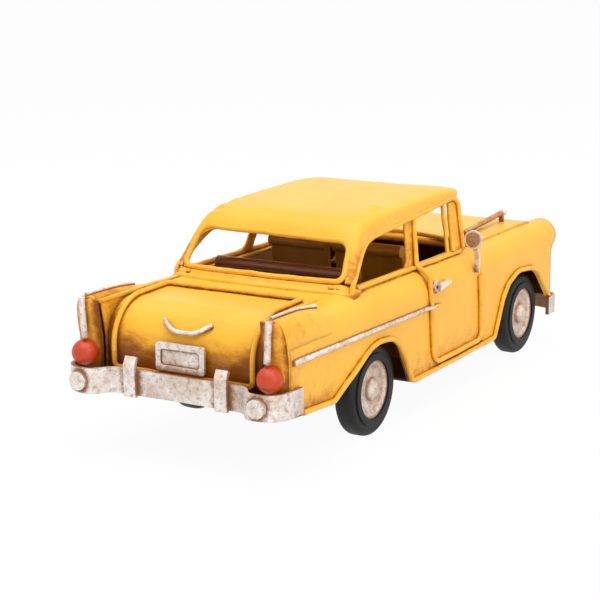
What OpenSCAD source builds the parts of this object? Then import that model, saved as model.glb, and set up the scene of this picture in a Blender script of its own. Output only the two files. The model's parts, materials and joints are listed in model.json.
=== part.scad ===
// Tinplate toy car: bent sheet panels with soldered bead wires, on two free-turning axles.
// +X is forward, +Y is the car's left, +Z is up. The origin is on the ground under the middle of the car.

/* [Overall] */
// Distance between the axles
wheelbase = 90; // [84:1:96]
// Rear axle to the rear face of the bumper discs
rear_overhang = 50.4; // [49:0.2:53]
// Front axle to the front face of the front bumper
front_overhang = 25.6; // [24:0.2:28]
// Half the width over the side sheets
half_width = 28.4; // [28:0.1:30]
// Thickness of the tin sheet
sheet = 0.7; // [0.5:0.05:0.8]
// Diameter of the soldered bead wires
bead_d = 1.3; // [1:0.1:1.5]

/* [Wheels and axles] */
// Outer diameter of the tyres
tyre_d = 23; // [21:0.5:24]
// Width of a tyre
tyre_w = 5.4; // [4.5:0.1:6]
// Outer diameter of the pressed wheel disc
disc_d = 14.4; // [13:0.2:15.5]
// Centre plane of the car to the outer wall of a tyre
track_half = 26.9; // [26:0.1:27.2]
// Diameter of the axle rods
axle_d = 2.2; // [1.8:0.1:2.6]
// Radial clearance of an axle in its bearing holes
axle_clearance = 0.05; // [0.02:0.01:0.1]
// Length of a bearing flange along the car
flange_l = 14; // [10:1:16]
// Centre plane to the outer face of the bearing flanges
flange_y = 17; // [15:0.5:18]
// Diameter of the round boss on a wheel disc
boss_d = 5.6; // [4.5:0.1:6.5]

/* [Side sheets] */
// Height of the shoulder above the ground at the rear axle
belt_z = 36.7; // [35:0.1:38]
// Fall of the shoulder towards the front, in degrees
belt_fall = 0.7; // [0:0.1:1]
// Rise of the front fender towards the headlamp, in degrees
fender_rise = 0.3; // [0:0.1:1]
// Radius of the shoulder roll
shoulder_r = 6.4; // [6:0.1:6.6]
// Rear axle back to the rear edge of the side sheet
tail_back = 42.2; // [41:0.1:42.6]
// Height of the lower edge behind the rear wheel
skirt_z = 15.6; // [15:0.1:16]
// Height of the sill's lower edge
sill_z = 9.2; // [8.4:0.1:10]
// Height of the front fender's lower edge ahead of the wheel
valance_z = 14.4; // [14:0.1:16]
// Rear axle to the rear edge of the door
door_rear = 25.6; // [24:0.2:28]
// Rear axle to the front edge of the door
door_front = 57.2; // [55:0.2:59]
// Height of the door's lower edge
door_z = 11.6; // [11:0.1:14]
// Front axle to the front edge of the fender
nose_ahead = 16.7; // [16:0.1:17.4]

/* [Trunk] */
// Half width of the trunk deck
deck_half = 21.2; // [20.4:0.1:21.6]
// Rear axle back to the rear face of the deck
deck_back = 41.9; // [41:0.1:42.4]
// Radius of the roll from the deck to its rear face
deck_roll_r = 10; // [8:0.5:12]
// Height of the deck's lower edge
deck_low_z = 21; // [20:0.1:22]
// Half width of the lid outline
lid_half = 18.8; // [17:0.1:19.4]
// Rear axle back to the front of the lid outline
lid_front_back = 20.3; // [18:0.1:22]
// Width of the plate on the trunk
plate_w = 13.2; // [12:0.2:15]
// Height of the plate
plate_h = 6.6; // [6:0.1:7]

/* [Cabin] */
// Rear axle back to the foot of the roof rail
rail_foot_back = 7.5; // [6.5:0.1:8.5]
// Rear axle to the upper front corner of the roof rail
rail_front = 54; // [52:0.2:56]
// Height of the roof's edge at the rear
roof_edge_rear_z = 46.6; // [46:0.1:48]
// Height of the roof's edge at the front
roof_edge_front_z = 50; // [49.4:0.1:51]
// Height of the roof's crown
roof_z = 53.4; // [52.8:0.1:55]
// Half width of the roof panel
roof_half = 21.2; // [20:0.1:21.6]

/* [Bumpers and lamps] */
// Height of the rear bumper's lower edge
rear_bumper_z = 16.2; // [15.6:0.1:17]
// Height of the rear bumper strip
rear_bumper_h = 6; // [5:0.1:6.2]
// Height of the front bumper's lower edge
front_bumper_z = 8.6; // [8:0.1:8.8]
// Height of the front bumper strip
front_bumper_h = 5.2; // [4.4:0.1:5.4]
// Thickness of the bumper strips
bumper_t = 1; // [0.8:0.1:1.2]
// Diameter of a tail lamp dome
tail_lamp_d = 6.1; // [5.6:0.1:6.4]
// Height of the tail lamps
tail_lamp_z = 24.9; // [24.6:0.1:25.4]
// Centre plane to the tail lamps
tail_lamp_y = 25.1; // [24.6:0.1:25.4]
// Outer diameter of a headlamp lens
headlamp_d = 7.2; // [6.6:0.1:7.6]

/* [Seats] */
// Rear axle to the back of the front seats
front_seat_x = 28.5; // [27:0.5:31]
// Height of the top of the front seats
front_seat_z = 40.8; // [38:0.2:41]
// Half the gap between the front seats
seat_gap_half = 1.2; // [0.8:0.1:2]
// Half width of the pair of front seats
seat_half = 19.5; // [18:0.1:20]
// Front seats set left of the centre plane
seat_shift = 0.9; // [0:0.1:1]
// Gap between the front seats left of the centre plane
seat_gap_y = 2.2; // [0:0.2:2.4]
// Height of the top of the rear seat
rear_seat_z = 39.4; // [37:0.2:40]

/* [Hidden] */
$fn = 48;

paint = "#f2b53c";
silver = "#cfc8c2";
brown = "#4a2a1c";

// Reach of a cut past the face it opens
overrun = 1;
// Gap between a piece and what it is soldered or seated on
seat = 0.08;
bead_r = bead_d / 2;
bead_out = bead_r + seat;
wire_sides = 8;

rear_axle_x = (rear_overhang - front_overhang - wheelbase) / 2;
front_axle_x = rear_axle_x + wheelbase;
axle_z = tyre_d / 2;
axle_r = axle_d / 2;

// Side sheets: places ahead of the rear or front axle, and heights
tail_x = rear_axle_x - tail_back;
door_rear_x = rear_axle_x + door_rear;
door_front_x = rear_axle_x + door_front;
nose_x = front_axle_x + nose_ahead;
side_inner_y = 21.6;
fender_inner_y = 24;
side_face = half_width + bead_out;
skirt_foot_z = 14.3;
rear_arch_foot = 23.7;
rear_arch_back = 3;
rear_arch_ahead = 8;
rear_arch_front = 16;
rear_arch_z = 23.8;
rear_arch_ahead_z = 22.5;
front_arch_foot = 21.5;
front_arch_knee = 16.6;
front_arch_knee_z = 18.4;
front_arch_back = 7.4;
front_arch_ahead = 5.4;
front_arch_z = 23.6;
valance_back = 1.8;
arch_foot_r = 3;
arch_r = 8;
fender_z = belt_z - door_front * tan(belt_fall);

// Headlamp
lamp_hood_r = 4.5;
lamp_y = 23.6;
lamp_drop = 5.4;
lamp_back = 8;
lamp_x = nose_x - lamp_back;
lamp_hood_l = 11.5;
lamp_lip = 0.3;
lamp_z = fender_z + (lamp_x - door_front_x) * tan(fender_rise) - lamp_drop;
lamp_r = headlamp_d / 2;
lamp_rim_w = 0.8;
lamp_rim_l = 1.6;
lamp_inset = 3;
lamp_dome = 1.8;

// Trunk deck, ledge and fins
deck_front_back = 8;
deck_fall = 0.5;
deck_x = rear_axle_x - deck_back;
ledge_rear_back = 14.2;
ledge_front_back = 9.4;
ledge_half = 24;
ledge_bow_r = 110;
ledge_ridge_r = 1;
ledge_t = 0.7;
fin_l = 19;
fin_y = 25.2;
fin_w = 1.5;
fin_top_z = 37.9;
fin_nose_h = 0.6;
fin_trim_r = 0.55;
fin_strip_r = 0.7;
fin_knob_r = 0.95;
fin_rear_back = 46;
cap_x = tail_x - seat;
cap_in_y = 22;
tail_rake = 2.6;
lamp_flat_l = 1.4;
lamp_cup_r = 2.6;
tail_lamp_back = 45.6;
tail_lamp_r = tail_lamp_d / 2;

// Plate and lift handle on the rear face
plate_z = 25.9;
plate_t = 0.9;
plate_rim = 1.4;
plate_corner_r = 0.7;
plate_recess = 0.35;
handle_half = 6.5;
handle_end_z = 33.6;
handle_mid_z = 31.6;
handle_r = 0.55;
handle_bend_r = 5;

// Bumpers
bar_back = 45;
bar_half = 17.5;
pod_y = 24;
pod_out = 21;
disc_t = 0.9;
bumper_disc_r = 2.2;
bumper_end_back = 38.6;
bumper_half = half_width + seat + bumper_t;
bumper_bend_r = 3;
bumper_wrap_r = 6;
pod_corner_r = 3.4;
overrider_y = 10.8;
overrider_w = 3.2;
overrider_up = 3.2;
overrider_lean = 1;
overrider_drop = 0.3;
front_bar_half = 13;
front_sweep = 4.2;
front_sweep_r = 24;
front_corner_r = 5;

// Cabin
cabin_front = 52.2;
rail_foot_y = 25.2;
rail_foot_z = 36.9;
rail_y = roof_half + bead_out;
rail_knee = 6.5;
rail_knee_r = 20;
rail_corner_r = 3;
pillar_swell = 2.2;
pillar_rail_share = 0.35;
belt_wire_back = 5.2;
belt_wire_y = 24.4;
belt_wire_up = 0.75;
roof_rear_back = 1;
roof_rear_x = rear_axle_x - roof_rear_back;
roof_front_x = rear_axle_x + rail_front;
roof_power_rear = 4.2;
roof_power_front = 5;
roof_power_across = 6.5;
roof_steps = 18;
window_foot_back = 8.2;
window_foot_y = 22.6;
window_foot_z = 39.8;
window_top_y = 20.8;
window_bow = 1.2;
window_foot_r = 1.8;
window_top_r = 3;
screen_foot = 54.2;
screen_foot_y = 23;
screen_foot_z = 38.2;
screen_bow = 8.6;
screen_r = 3.4;
vent_x = 45.4;

// Hood, cowl and grille
hood_rear = 66;
hood_gap = 0.4;
hood_half = fender_inner_y - hood_gap;
hood_z = 36.6;
hood_fall = 0.1;
hood_roll_r = 7;
hood_front_ahead = 15.6;
hood_low_z = 29;
spear_y = 17.4;
spear_rear = 70;
spear_tip_ahead = 6.6;
spear_r = 0.75;
spear_rise = 2.4;
spear_tip_r = 1.1;
cowl_rear = 57.4;
cowl_half = 22.4;
cowl_bow_r = 120;
cowl_ridge_r = 0.9;
grille_half = 15;
grille_low_z = 15;
grille_frame = 1.6;
grille_t = 1.4;
grille_bars = 5;
grille_bar_r = 0.45;

// Trim on the sides
pillar_lean = 4.4;
pillar_w = 2.2;
door_lean = 2.6;
trim_h = 1.05;
trim_t = 0.8;
trim_rear_back = 41.5;
trim_front = 33;
trim_rear_z = 28;
trim_fall = 1.2;
trim_tip = 3;
handle_x = 29.2;
handle_z = 31.4;
lock_w = 3.4;
lock_h = 3.6;
lock_t = 0.8;
lock_hole_r = 0.45;
lever_l = 6.4;
lever_h = 1.1;
mirror_x = 50.2;
mirror_z = 39.8;
mirror_y = 28.5;
mirror_r = 2.5;
mirror_t = 0.9;
mirror_dish = 0.25;
mirror_rim = 0.5;
mirror_foot = 53;
mirror_foot_z = 30.6;
stalk_t = 0.7;
stalk_w = 1.3;

// Floor, seats and steering
floor_z = sill_z;
trunk_floor_z = 16.3;
floor_edge = half_width - sheet - seat;
floor_step = 15;
flange_h = 7;
strap_y = 9;
strap_w = 3;
seat_roll_r = 1.6;
seat_back_t = 1.5;
seat_lean = 4;
cushion_l = 13;
cushion_h = 5;
cushion_z = 21;
rear_seat_x = 2.4;
rear_seat_half = 20.2;
rear_cushion_l = 12;
wheel_ring_r = 4.4;
wheel_rod_r = 0.45;
steer_x = 49;
steer_y = 10;
steer_z = 33.5;
steer_lean = 150;

// Wheels
disc_seat = 0.03;
disc_lip = 0.5;
disc_wall = 0.8;
disc_dish = 0.7;
boss_rise = 1;
hub_r = 2;
hub_gap = 0.3;
tyre_shoulder_r = 1.5;
tyre_step = 0.4;
tyre_step_r = 9;

// Vector of length one along v
function unit(v) = v / norm(v);
// Height of the shoulder at x
function belt_at(x) = belt_z - (x - rear_axle_x) * tan(belt_fall);
// Height of the roof's edge at x
function roof_edge_at(x) = roof_edge_rear_z
    + (roof_edge_front_z - roof_edge_rear_z) * (x - roof_rear_x) / (roof_front_x - roof_rear_x);

// Arc of radius r that rounds the corner a, p, b
function corner_arc(a, p, b, r, steps) =
    let (u = unit(a - p), v = unit(b - p), half = acos(u * v) / 2,
         c = p + unit(u + v) * r / sin(half),
         s = p + u * r / tan(half) - c,
         e = p + v * r / tan(half) - c,
         turn = 180 - 2 * half)
    [for (k = [0 : steps]) c + (s * sin(turn * (1 - k / steps)) + e * sin(turn * k / steps)) / sin(turn)];
// Path p with each corner rounded by its own radius, where zero keeps the corner sharp
function rounded(p, r, closed = false, steps = 5) = let (n = len(p)) [
    for (i = [0 : n - 1])
        each r[i] == 0 || (!closed && (i == 0 || i == n - 1)) ? [p[i]]
            : corner_arc(p[(i + n - 1) % n], p[i], p[(i + 1) % n], r[i], steps)];
// Direction of a path at its point i
function heading(p, i, closed = false) = let (n = len(p),
    ahead = closed || i < n - 1 ? unit(p[(i + 1) % n] - p[i]) : unit(p[i] - p[i - 1]),
    behind = closed || i > 0 ? unit(p[i] - p[(i + n - 1) % n]) : ahead)
    unit(ahead + behind);
// A flat path moved sideways by w, to its left, with true corners
function left_of(d) = [-d[1], d[0]];
function shifted(p, w) = [for (i = [0 : len(p) - 1])
    let (n = left_of(heading(p, i)), q = i < len(p) - 1 ? p[i + 1] - p[i] : p[i] - p[i - 1])
    p[i] + n * w / (n * left_of(unit(q)))];
// Outline of a strip of thickness w along a flat path
function strip(p, w) = let (s = shifted(p, w)) concat(p, [for (i = [len(s) - 1 : -1 : 0]) s[i]]);
function mirrored(p) = concat([for (i = [len(p) - 1 : -1 : 0]) [p[i][0], -p[i][1]]], p);

// Round wire along a path in space, where ref is a direction that the path never runs along
module wire(path, r, ref, closed = false) {
    n = len(path);
    points = [for (i = [0 : n - 1])
        let (t = heading(path, i, closed), a = unit(cross(t, ref)), b = cross(t, a))
        for (k = [0 : wire_sides - 1])
            path[i] + r * (a * cos(360 * k / wire_sides) + b * sin(360 * k / wire_sides))];
    function at(i, k) = (i % n) * wire_sides + k % wire_sides;
    walls = [for (i = [0 : closed ? n - 1 : n - 2], k = [0 : wire_sides - 1])
        each [[at(i, k), at(i + 1, k), at(i + 1, k + 1)], [at(i, k), at(i + 1, k + 1), at(i, k + 1)]]];
    ends = closed ? [] : [for (k = [1 : wire_sides - 2])
        each [[at(0, 0), at(0, k), at(0, k + 1)], [at(n - 1, 0), at(n - 1, k + 1), at(n - 1, k)]]];
    polyhedron(points, concat(walls, ends));
}

// Straight round rod from p to q
module rod(p, q, r) {
    d = q - p;
    translate(p) rotate([0, acos(d[2] / norm(d)), atan2(d[1], d[0])]) cylinder(h = norm(d), r = r);
}

// Shapes drawn across (y, z) and pulled along X, or drawn in (x, z) and pulled along Y
module along_x(x0, x1) { translate([x0, 0, 0]) rotate([90, 0, 90]) linear_extrude(x1 - x0) children(); }
module along_y(y0, y1) { translate([0, y1, 0]) rotate([90, 0, 0]) linear_extrude(y1 - y0) children(); }
module right_side() { mirror([0, 1, 0]) children(); }

// Section of a side sheet: a wall that rolls over into the shoulder
module shoulder_section(top) {
    inner = half_width - shoulder_r - sheet;
    polygon(strip(rounded([[half_width, 0], [half_width, top], [inner, top]], [0, shoulder_r, 0],
        steps = 9), sheet));
}
module shoulder_solid(top, out) {
    y = half_width + out;
    polygon(concat([[0, 0]], rounded([[y, 0], [y, top + out], [0, top + out]], [0, shoulder_r + out,
        0], steps = 9)));
}

// Lower edge of the side sheets, rear part up to the door's front edge and front part from there
rear_lower = rounded([[tail_x, skirt_z], [rear_axle_x - rear_arch_foot, skirt_foot_z],
    [rear_axle_x - rear_arch_back, rear_arch_z], [rear_axle_x + rear_arch_ahead, rear_arch_ahead_z],
    [rear_axle_x + rear_arch_front, sill_z], [door_front_x, sill_z]],
    [0, arch_foot_r, arch_r, arch_r, arch_foot_r, 0]);
front_lower = rounded([[door_front_x + seat, sill_z], [front_axle_x - front_arch_foot, sill_z],
    [front_axle_x - front_arch_knee, front_arch_knee_z], [front_axle_x - front_arch_back, front_arch_z],
    [front_axle_x + front_arch_ahead, front_arch_z], [nose_x - valance_back, valance_z]],
    [0, arch_foot_r, arch_r, arch_foot_r, arch_r, 0]);

module side_panel_left() {
    top = belt_z + shoulder_r;
    color(paint) intersection() {
        translate([rear_axle_x, 0, 0]) rotate([0, belt_fall, 0])
            along_x(-tail_back - shoulder_r, door_front + shoulder_r) shoulder_section(belt_z);
        along_y(side_inner_y, half_width + overrun)
            polygon(concat(rear_lower, [[door_front_x, top], [tail_x - tail_rake, top], [tail_x,
                trim_rear_z]]));
    }
}
module side_panel_right() { right_side() side_panel_left(); }

module front_fender_left() {
    top = belt_z + shoulder_r;
    low = lamp_z - lamp_hood_r - lamp_lip - seat;
    color(paint) intersection() {
        translate([door_front_x, 0, 0]) rotate([0, -fender_rise, 0])
            along_x(-shoulder_r, nose_x - door_front_x + shoulder_r) shoulder_section(fender_z);
        along_y(fender_inner_y, half_width + overrun)
            polygon(concat(front_lower, [[nose_x, low], [lamp_x, low], [lamp_x, top],
                [door_front_x + seat, top]]));
    }
}
module front_fender_right() { right_side() front_fender_left(); }

// Wire along the lower edge of skirt, arches and sill, soldered to the outer face
module edge_bead_left() {
    skirt_start = rear_axle_x - bumper_end_back + bead_out;
    lower = concat([for (p = rear_lower) [max(p[0], skirt_start), p[1]]], front_lower);
    color(paint) wire([for (p = shifted(lower, bead_r)) [p[0], side_face, p[1]]], bead_r, [0, 1, 0]);
}
module edge_bead_right() { right_side() edge_bead_left(); }

// Height where the door bead turns over the shoulder
door_top_z = belt_at(door_rear_x) + bead_out - shoulder_r / 4;

// Centre pillar wire, which follows the shoulder down and runs round the door
module door_bead_left() {
    top_x = door_rear_x + pillar_lean;
    top_z = roof_edge_at(top_x) - bead_r - 3 * seat;
    shoulder = belt_at(door_rear_x) + bead_out;
    knee_y = half_width - shoulder_r / 2;
    foot_z = shoulder + bead_d;
    foot_share = (foot_z - shoulder) / (top_z - shoulder);
    foot_x = door_rear_x + (top_x - door_rear_x) * foot_share;
    foot_y = knee_y + (rail_y - knee_y) * foot_share;
    color(paint) wire(rounded([
        [top_x, rail_y, top_z],
        [door_rear_x, knee_y, shoulder],
        [door_rear_x, side_face, door_top_z],
        [door_rear_x + door_lean, side_face, door_z],
        [door_front_x - seat, side_face, door_z],
        [door_front_x - bead_d, side_face, mirror_foot_z - bead_d]],
        [0, bead_d, shoulder_r / 2, 3 * bead_d, 2 * bead_d, 0]), bead_r, [1, 1, 1]);
    color(paint) sheet_quad([top_x, rail_y, top_z], [top_x - pillar_w, rail_y, top_z],
        [foot_x - pillar_w, foot_y, foot_z], [foot_x, foot_y, foot_z]);
}
module door_bead_right() { right_side() door_bead_left(); }

// Trim strip with a pointed front end
module side_trim_left() {
    rear = rear_axle_x - trim_rear_back;
    front = rear_axle_x + trim_front;
    cut = bead_r + 2 * seat;
    color(silver) difference() {
        translate([rear, half_width + seat, trim_rear_z]) rotate([0, trim_fall, 0])
            along_y(0, trim_t) polygon([[0, -trim_h / 2], [front - rear - trim_tip, -trim_h / 2],
                [front - rear, 0], [front - rear - trim_tip, trim_h / 2], [0, trim_h / 2]]);
        along_y(half_width, half_width + 2 * trim_t) polygon([
            [door_rear_x - cut, door_top_z], [door_rear_x + cut, door_top_z],
            [door_rear_x + door_lean + cut, door_z], [door_rear_x + door_lean - cut, door_z]]);
    }
}
module side_trim_right() { right_side() side_trim_left(); }

// Lock plate with its keyhole, and the lever ahead of it
module door_handle_left() {
    x = rear_axle_x + handle_x;
    y = half_width + seat;
    color(silver) difference() {
        union() {
            along_y(y, y + lock_t) polygon([[x - lock_w / 2, handle_z], [x, handle_z - lock_h / 2],
                [x + lock_w / 2, handle_z], [x, handle_z + lock_h / 2]]);
            along_y(y, y + lock_t + lock_t) polygon([[x, handle_z - lever_h], [x + lever_l, handle_z],
                [x + lever_l, handle_z + lever_h / 2], [x, handle_z + lever_h / 2]]);
        }
        translate([x - lock_hole_r, y + lock_t, handle_z]) rotate([90, 0, 0])
            cylinder(h = lock_t + lock_t + overrun, r = lock_hole_r, center = true);
    }
}
module door_handle_right() { right_side() door_handle_left(); }

// Round mirror that faces the rear, on a bent flat stalk
module mirror_left() {
    x = rear_axle_x + mirror_x;
    foot = rear_axle_x + mirror_foot;
    color(silver) {
        translate([x, mirror_y + stalk_w / 2, mirror_z]) rotate([0, 90, 0]) difference() {
            cylinder(h = mirror_t, r = mirror_r);
            translate([0, 0, -overrun]) cylinder(h = overrun + mirror_dish, r = mirror_r - mirror_rim);
        }
        along_y(mirror_y, mirror_y + stalk_w) polygon(strip(rounded([[foot, mirror_foot_z],
            [foot, (mirror_foot_z + mirror_z) / 2], [x + mirror_t / 2, mirror_z - mirror_r / 2]],
            [0, mirror_r, 0]), -stalk_t));
        along_y(half_width + seat, mirror_y + stalk_w) polygon([[foot, mirror_foot_z], [foot + stalk_t,
            mirror_foot_z],
            [foot + stalk_t, mirror_foot_z + stalk_w], [foot, mirror_foot_z + stalk_w]]);
    }
}
module mirror_right() { right_side() mirror_left(); }

// Headlamp hood: a short pressed cup with a flared brim, open to the front
module headlamp_hood_left() {
    r = lamp_hood_r;
    lip = r + lamp_lip;
    path = rounded([[r, 0], [r, lamp_hood_l / 2], [lip, lamp_hood_l - lamp_lip], [lip - lamp_lip,
        lamp_hood_l]],
        [0, lamp_hood_l / 2, lamp_lip, 0]);
    color(paint) translate([lamp_x + seat, lamp_y, lamp_z]) rotate([0, 90, 0]) rotate_extrude() union() {
        polygon(strip(path, sheet));
        polygon([[0, 0], [r - sheet / 2, 0], [r - sheet / 2, sheet], [0, sheet]]);
    }
}
module headlamp_hood_right() { right_side() headlamp_hood_left(); }

// Headlamp: silver rim with a domed lens, seated on the hood's back wall
module headlamp_left() {
    back = sheet + seat;
    front = lamp_hood_l - lamp_inset;
    color(silver) translate([lamp_x + seat, lamp_y, lamp_z]) rotate([0, 90, 0]) rotate_extrude()
        polygon(concat([[0, back], [lamp_r - lamp_rim_w, back], [lamp_r - lamp_rim_w,
            front - lamp_rim_l], [lamp_r, front - lamp_rim_l],
            [lamp_r, front], [lamp_r - lamp_rim_w, front]],
            [for (k = [1 : 5]) let (a = 18 * k) [(lamp_r - lamp_rim_w) * cos(a),
                front + lamp_dome * sin(a)]]));
}
module headlamp_right() { right_side() headlamp_left(); }

// Trunk deck: one sheet, rolled down at the rear
deck_path = rounded([[deck_x, deck_low_z], [deck_x, belt_z - deck_fall],
    [rear_axle_x - deck_front_back, belt_z]],
    [0, deck_roll_r, 0], steps = 10);
module deck_panel() { color(paint) along_y(-deck_half, deck_half) polygon(strip(deck_path, -sheet)); }

// Wire outline of the lid, which follows the deck's roll
module lid_bead() {
    front = rear_axle_x - lid_front_back;
    over = [for (p = shifted(deck_path,
        bead_out)) if (p[0] < front - bead_d && p[1] > deck_low_z + bead_d) p];
    top = belt_z - deck_fall * (lid_front_back - deck_front_back) / (deck_back - deck_front_back) + bead_out;
    low = [deck_x - bead_out, deck_low_z + bead_r];
    half = concat([low], over, [[front, top]]);
    color(paint) wire(rounded(concat([for (p = half) [p[0], lid_half, p[1]]],
        [for (i = [len(half) - 1 : -1 : 0]) [half[i][0], -lid_half, half[i][1]]]),
        concat([bead_d], [for (p = over) 0], [bead_d, bead_d], [for (p = over) 0], [bead_d]), closed = true),
        bead_r, [-1, 0, 1], closed = true);
}

// Ledge under the rear window: a bowed strip with two ridges
module bowed_ledge(x_rear, x_front, z, bow_r, half, ridge_r) {
    spread = asin(half / bow_r);
    translate([x_front + bow_r, 0, z]) rotate([0, 0, 180 - spread]) rotate_extrude(angle = 2 * spread,
        $fn = 200) {
        translate([bow_r, 0]) square([x_front - x_rear, ledge_t]);
        for (x = [ridge_r, x_front - x_rear - ridge_r])
            translate([bow_r + x, ledge_t]) intersection() {
                circle(r = ridge_r, $fn = 24);
                translate([-ridge_r, -ledge_t / 2]) square([2 * ridge_r, 2 * ridge_r]);
            }
    }
}
module rear_ledge() {
    front = rear_axle_x - ledge_front_back;
    rear = rear_axle_x - ledge_rear_back;
    color(paint) bowed_ledge(rear, front, belt_at(rear) + seat, ledge_bow_r, ledge_half, ledge_ridge_r);
}

// Rear end of the fender: a sheet on the raked edge, with the cup of the tail lamp
cap_path = [[cap_x, rear_bumper_z], [cap_x, trim_rear_z], [cap_x - tail_rake, belt_z + shoulder_r]];
lamp_centre = [rear_axle_x - tail_lamp_back, tail_lamp_y, tail_lamp_z];
lamp_flat = lamp_centre[0] + lamp_flat_l;
module tail_cap_left() {
    color(paint) {
        intersection() {
            along_y(cap_in_y, half_width) polygon(strip(cap_path, sheet));
            translate([rear_axle_x, 0, 0]) rotate([0, belt_fall, 0])
                along_x(-rear_overhang, 0) shoulder_solid(belt_z, 0);
        }
        translate([lamp_flat + seat, tail_lamp_y, tail_lamp_z]) rotate([0, 90, 0])
            cylinder(h = cap_x - sheet / 2 - lamp_flat - seat, r = lamp_cup_r);
    }
}
module tail_cap_right() { right_side() tail_cap_left(); }

// Lamp dome with a flat back on its cup
module tail_lamp_left() {
    color("#e4573d") translate(lamp_centre) rotate([0, 90, 0]) rotate_extrude() intersection() {
        circle(r = tail_lamp_r);
        translate([0, -tail_lamp_r]) square([tail_lamp_r, tail_lamp_r + lamp_flat_l]);
    }
}
module tail_lamp_right() { right_side() tail_lamp_left(); }

// Fin: a blade along the shoulder and down the tail, cut to their form
module fin_strip_left() {
    rear = rear_axle_x - fin_rear_back + fin_strip_r + seat;
    front = rear + fin_l;
    low = tail_lamp_z + tail_lamp_r + fin_strip_r;
    behind = shifted(cap_path, sheet + seat);
    color(paint) difference() {
        along_y(fin_y, fin_y + fin_w) polygon([[rear, low], [front, low], [front,
            fin_top_z - fin_nose_h], [rear, fin_top_z]]);
        intersection() {
            translate([rear_axle_x, 0, 0]) rotate([0, belt_fall, 0]) along_x(-rear_overhang, 0)
                shoulder_solid(belt_z, seat);
            along_y(0, half_width) polygon(concat(behind, [[0, belt_z + shoulder_r], [0, rear_bumper_z]]));
        }
    }
}
module fin_strip_right() { right_side() fin_strip_left(); }

// Silver strip down the fin's rear edge, its knob, and the silver line along the fin's top
module fin_trim_left() {
    x = rear_axle_x - fin_rear_back;
    y = fin_y + fin_w / 2;
    top = [x, y, fin_top_z];
    low = [x, tail_lamp_y, tail_lamp_z + tail_lamp_r + fin_strip_r];
    lift = fin_trim_r + seat;
    color(silver) {
        rod(low, top, fin_strip_r);
        translate(top - [fin_knob_r - fin_strip_r, 0, 0]) sphere(r = fin_knob_r);
        rod(top + [0, 0, lift], [x + fin_l, y, fin_top_z - fin_nose_h + lift], fin_trim_r);
    }
}
module fin_trim_right() { right_side() fin_trim_left(); }

// Bare plate with a raised rim
module licence_plate() {
    x = deck_x - bead_out - plate_t;
    color(silver) difference() {
        along_x(x, x + plate_t) translate([0, plate_z]) plate_outline(plate_w, plate_h);
        along_x(x - overrun, x + plate_recess) translate([0, plate_z])
            plate_outline(plate_w - 2 * plate_rim, plate_h - 2 * plate_rim);
    }
}
module plate_outline(w, h) {
    polygon(rounded([[w / 2, h / 2], [-w / 2, h / 2], [-w / 2, -h / 2], [w / 2, -h / 2]],
        [for (k = [1 : 4]) plate_corner_r], closed = true));
}

// Plain curved pull above the plate
module lift_handle() {
    out = handle_r + seat;
    function face(z) = let (c = belt_z - deck_fall - deck_roll_r)
        deck_x + deck_roll_r - sqrt(pow(deck_roll_r + out, 2) - pow(z - c, 2));
    half = [[face(handle_mid_z), 0, handle_mid_z], [face(handle_end_z), handle_half, handle_end_z]];
    color(silver) wire(rounded([[half[1][0], -half[1][1], half[1][2]],
        [half[0][0] - out, -handle_half / 2, half[0][2]], [half[0][0] - out, handle_half / 2,
            half[0][2]], half[1]],
        [0, handle_bend_r, handle_bend_r, 0]), handle_r, [1, 0, 1]);
}

// Rear bumper: one strip with a pod at each end and a round disc on each pod
module rear_bumper() {
    bar = rear_axle_x - bar_back;
    pod = rear_axle_x - rear_overhang + disc_t;
    half = [[bar, bar_half], [pod, pod_out], [pod, bumper_half], [rear_axle_x - bumper_end_back,
        bumper_half]];
    path = rounded(mirrored(half),
        [0, bumper_wrap_r, bumper_bend_r, pod_corner_r, pod_corner_r, bumper_bend_r, bumper_wrap_r, 0]);
    color(silver) {
        translate([0, 0, rear_bumper_z]) linear_extrude(rear_bumper_h) polygon(strip(path, -bumper_t));
        for (s = [-1, 1])
            translate([pod - disc_t, s * pod_y, rear_bumper_z + rear_bumper_h / 2]) rotate([0, 90, 0])
                cylinder(h = disc_t + bumper_t / 2, r = bumper_disc_r);
    }
}

// Flat upright straps on the bumper bar
module overrider_pair(x, z, h) {
    path = rounded([[0, 0], [0, h - 2 * overrider_lean], [overrider_lean, h]], [0, 2 * bumper_t, 0]);
    for (s = [-1, 1])
        translate([x, s * (overrider_y + overrider_w / 2), z])
            along_y(-overrider_w / 2, overrider_w / 2) polygon(strip(path, -bumper_t));
}
module rear_overriders() {
    color(silver) overrider_pair(rear_axle_x - bar_back - seat - bumper_t,
        rear_bumper_z - overrider_drop, rear_bumper_h + overrider_up + overrider_drop);
}

// Front bumper: a swept strip with two straps soldered to it
module front_bumper() {
    tip = front_axle_x + front_overhang;
    front = tip - bumper_t / 2;
    half = [[front, front_bar_half], [front - front_sweep, bumper_half], [nose_x, bumper_half]];
    path = rounded(mirrored(half), [0, front_corner_r, front_sweep_r, front_sweep_r, front_corner_r, 0]);
    color(silver) {
        translate([0, 0, front_bumper_z]) linear_extrude(front_bumper_h) polygon(strip(path, bumper_t));
        translate([tip, 0, 0]) mirror([1, 0, 0])
            overrider_pair(0, front_bumper_z - overrider_drop,
                front_bumper_h + overrider_up + overrider_drop);
    }
}

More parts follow.
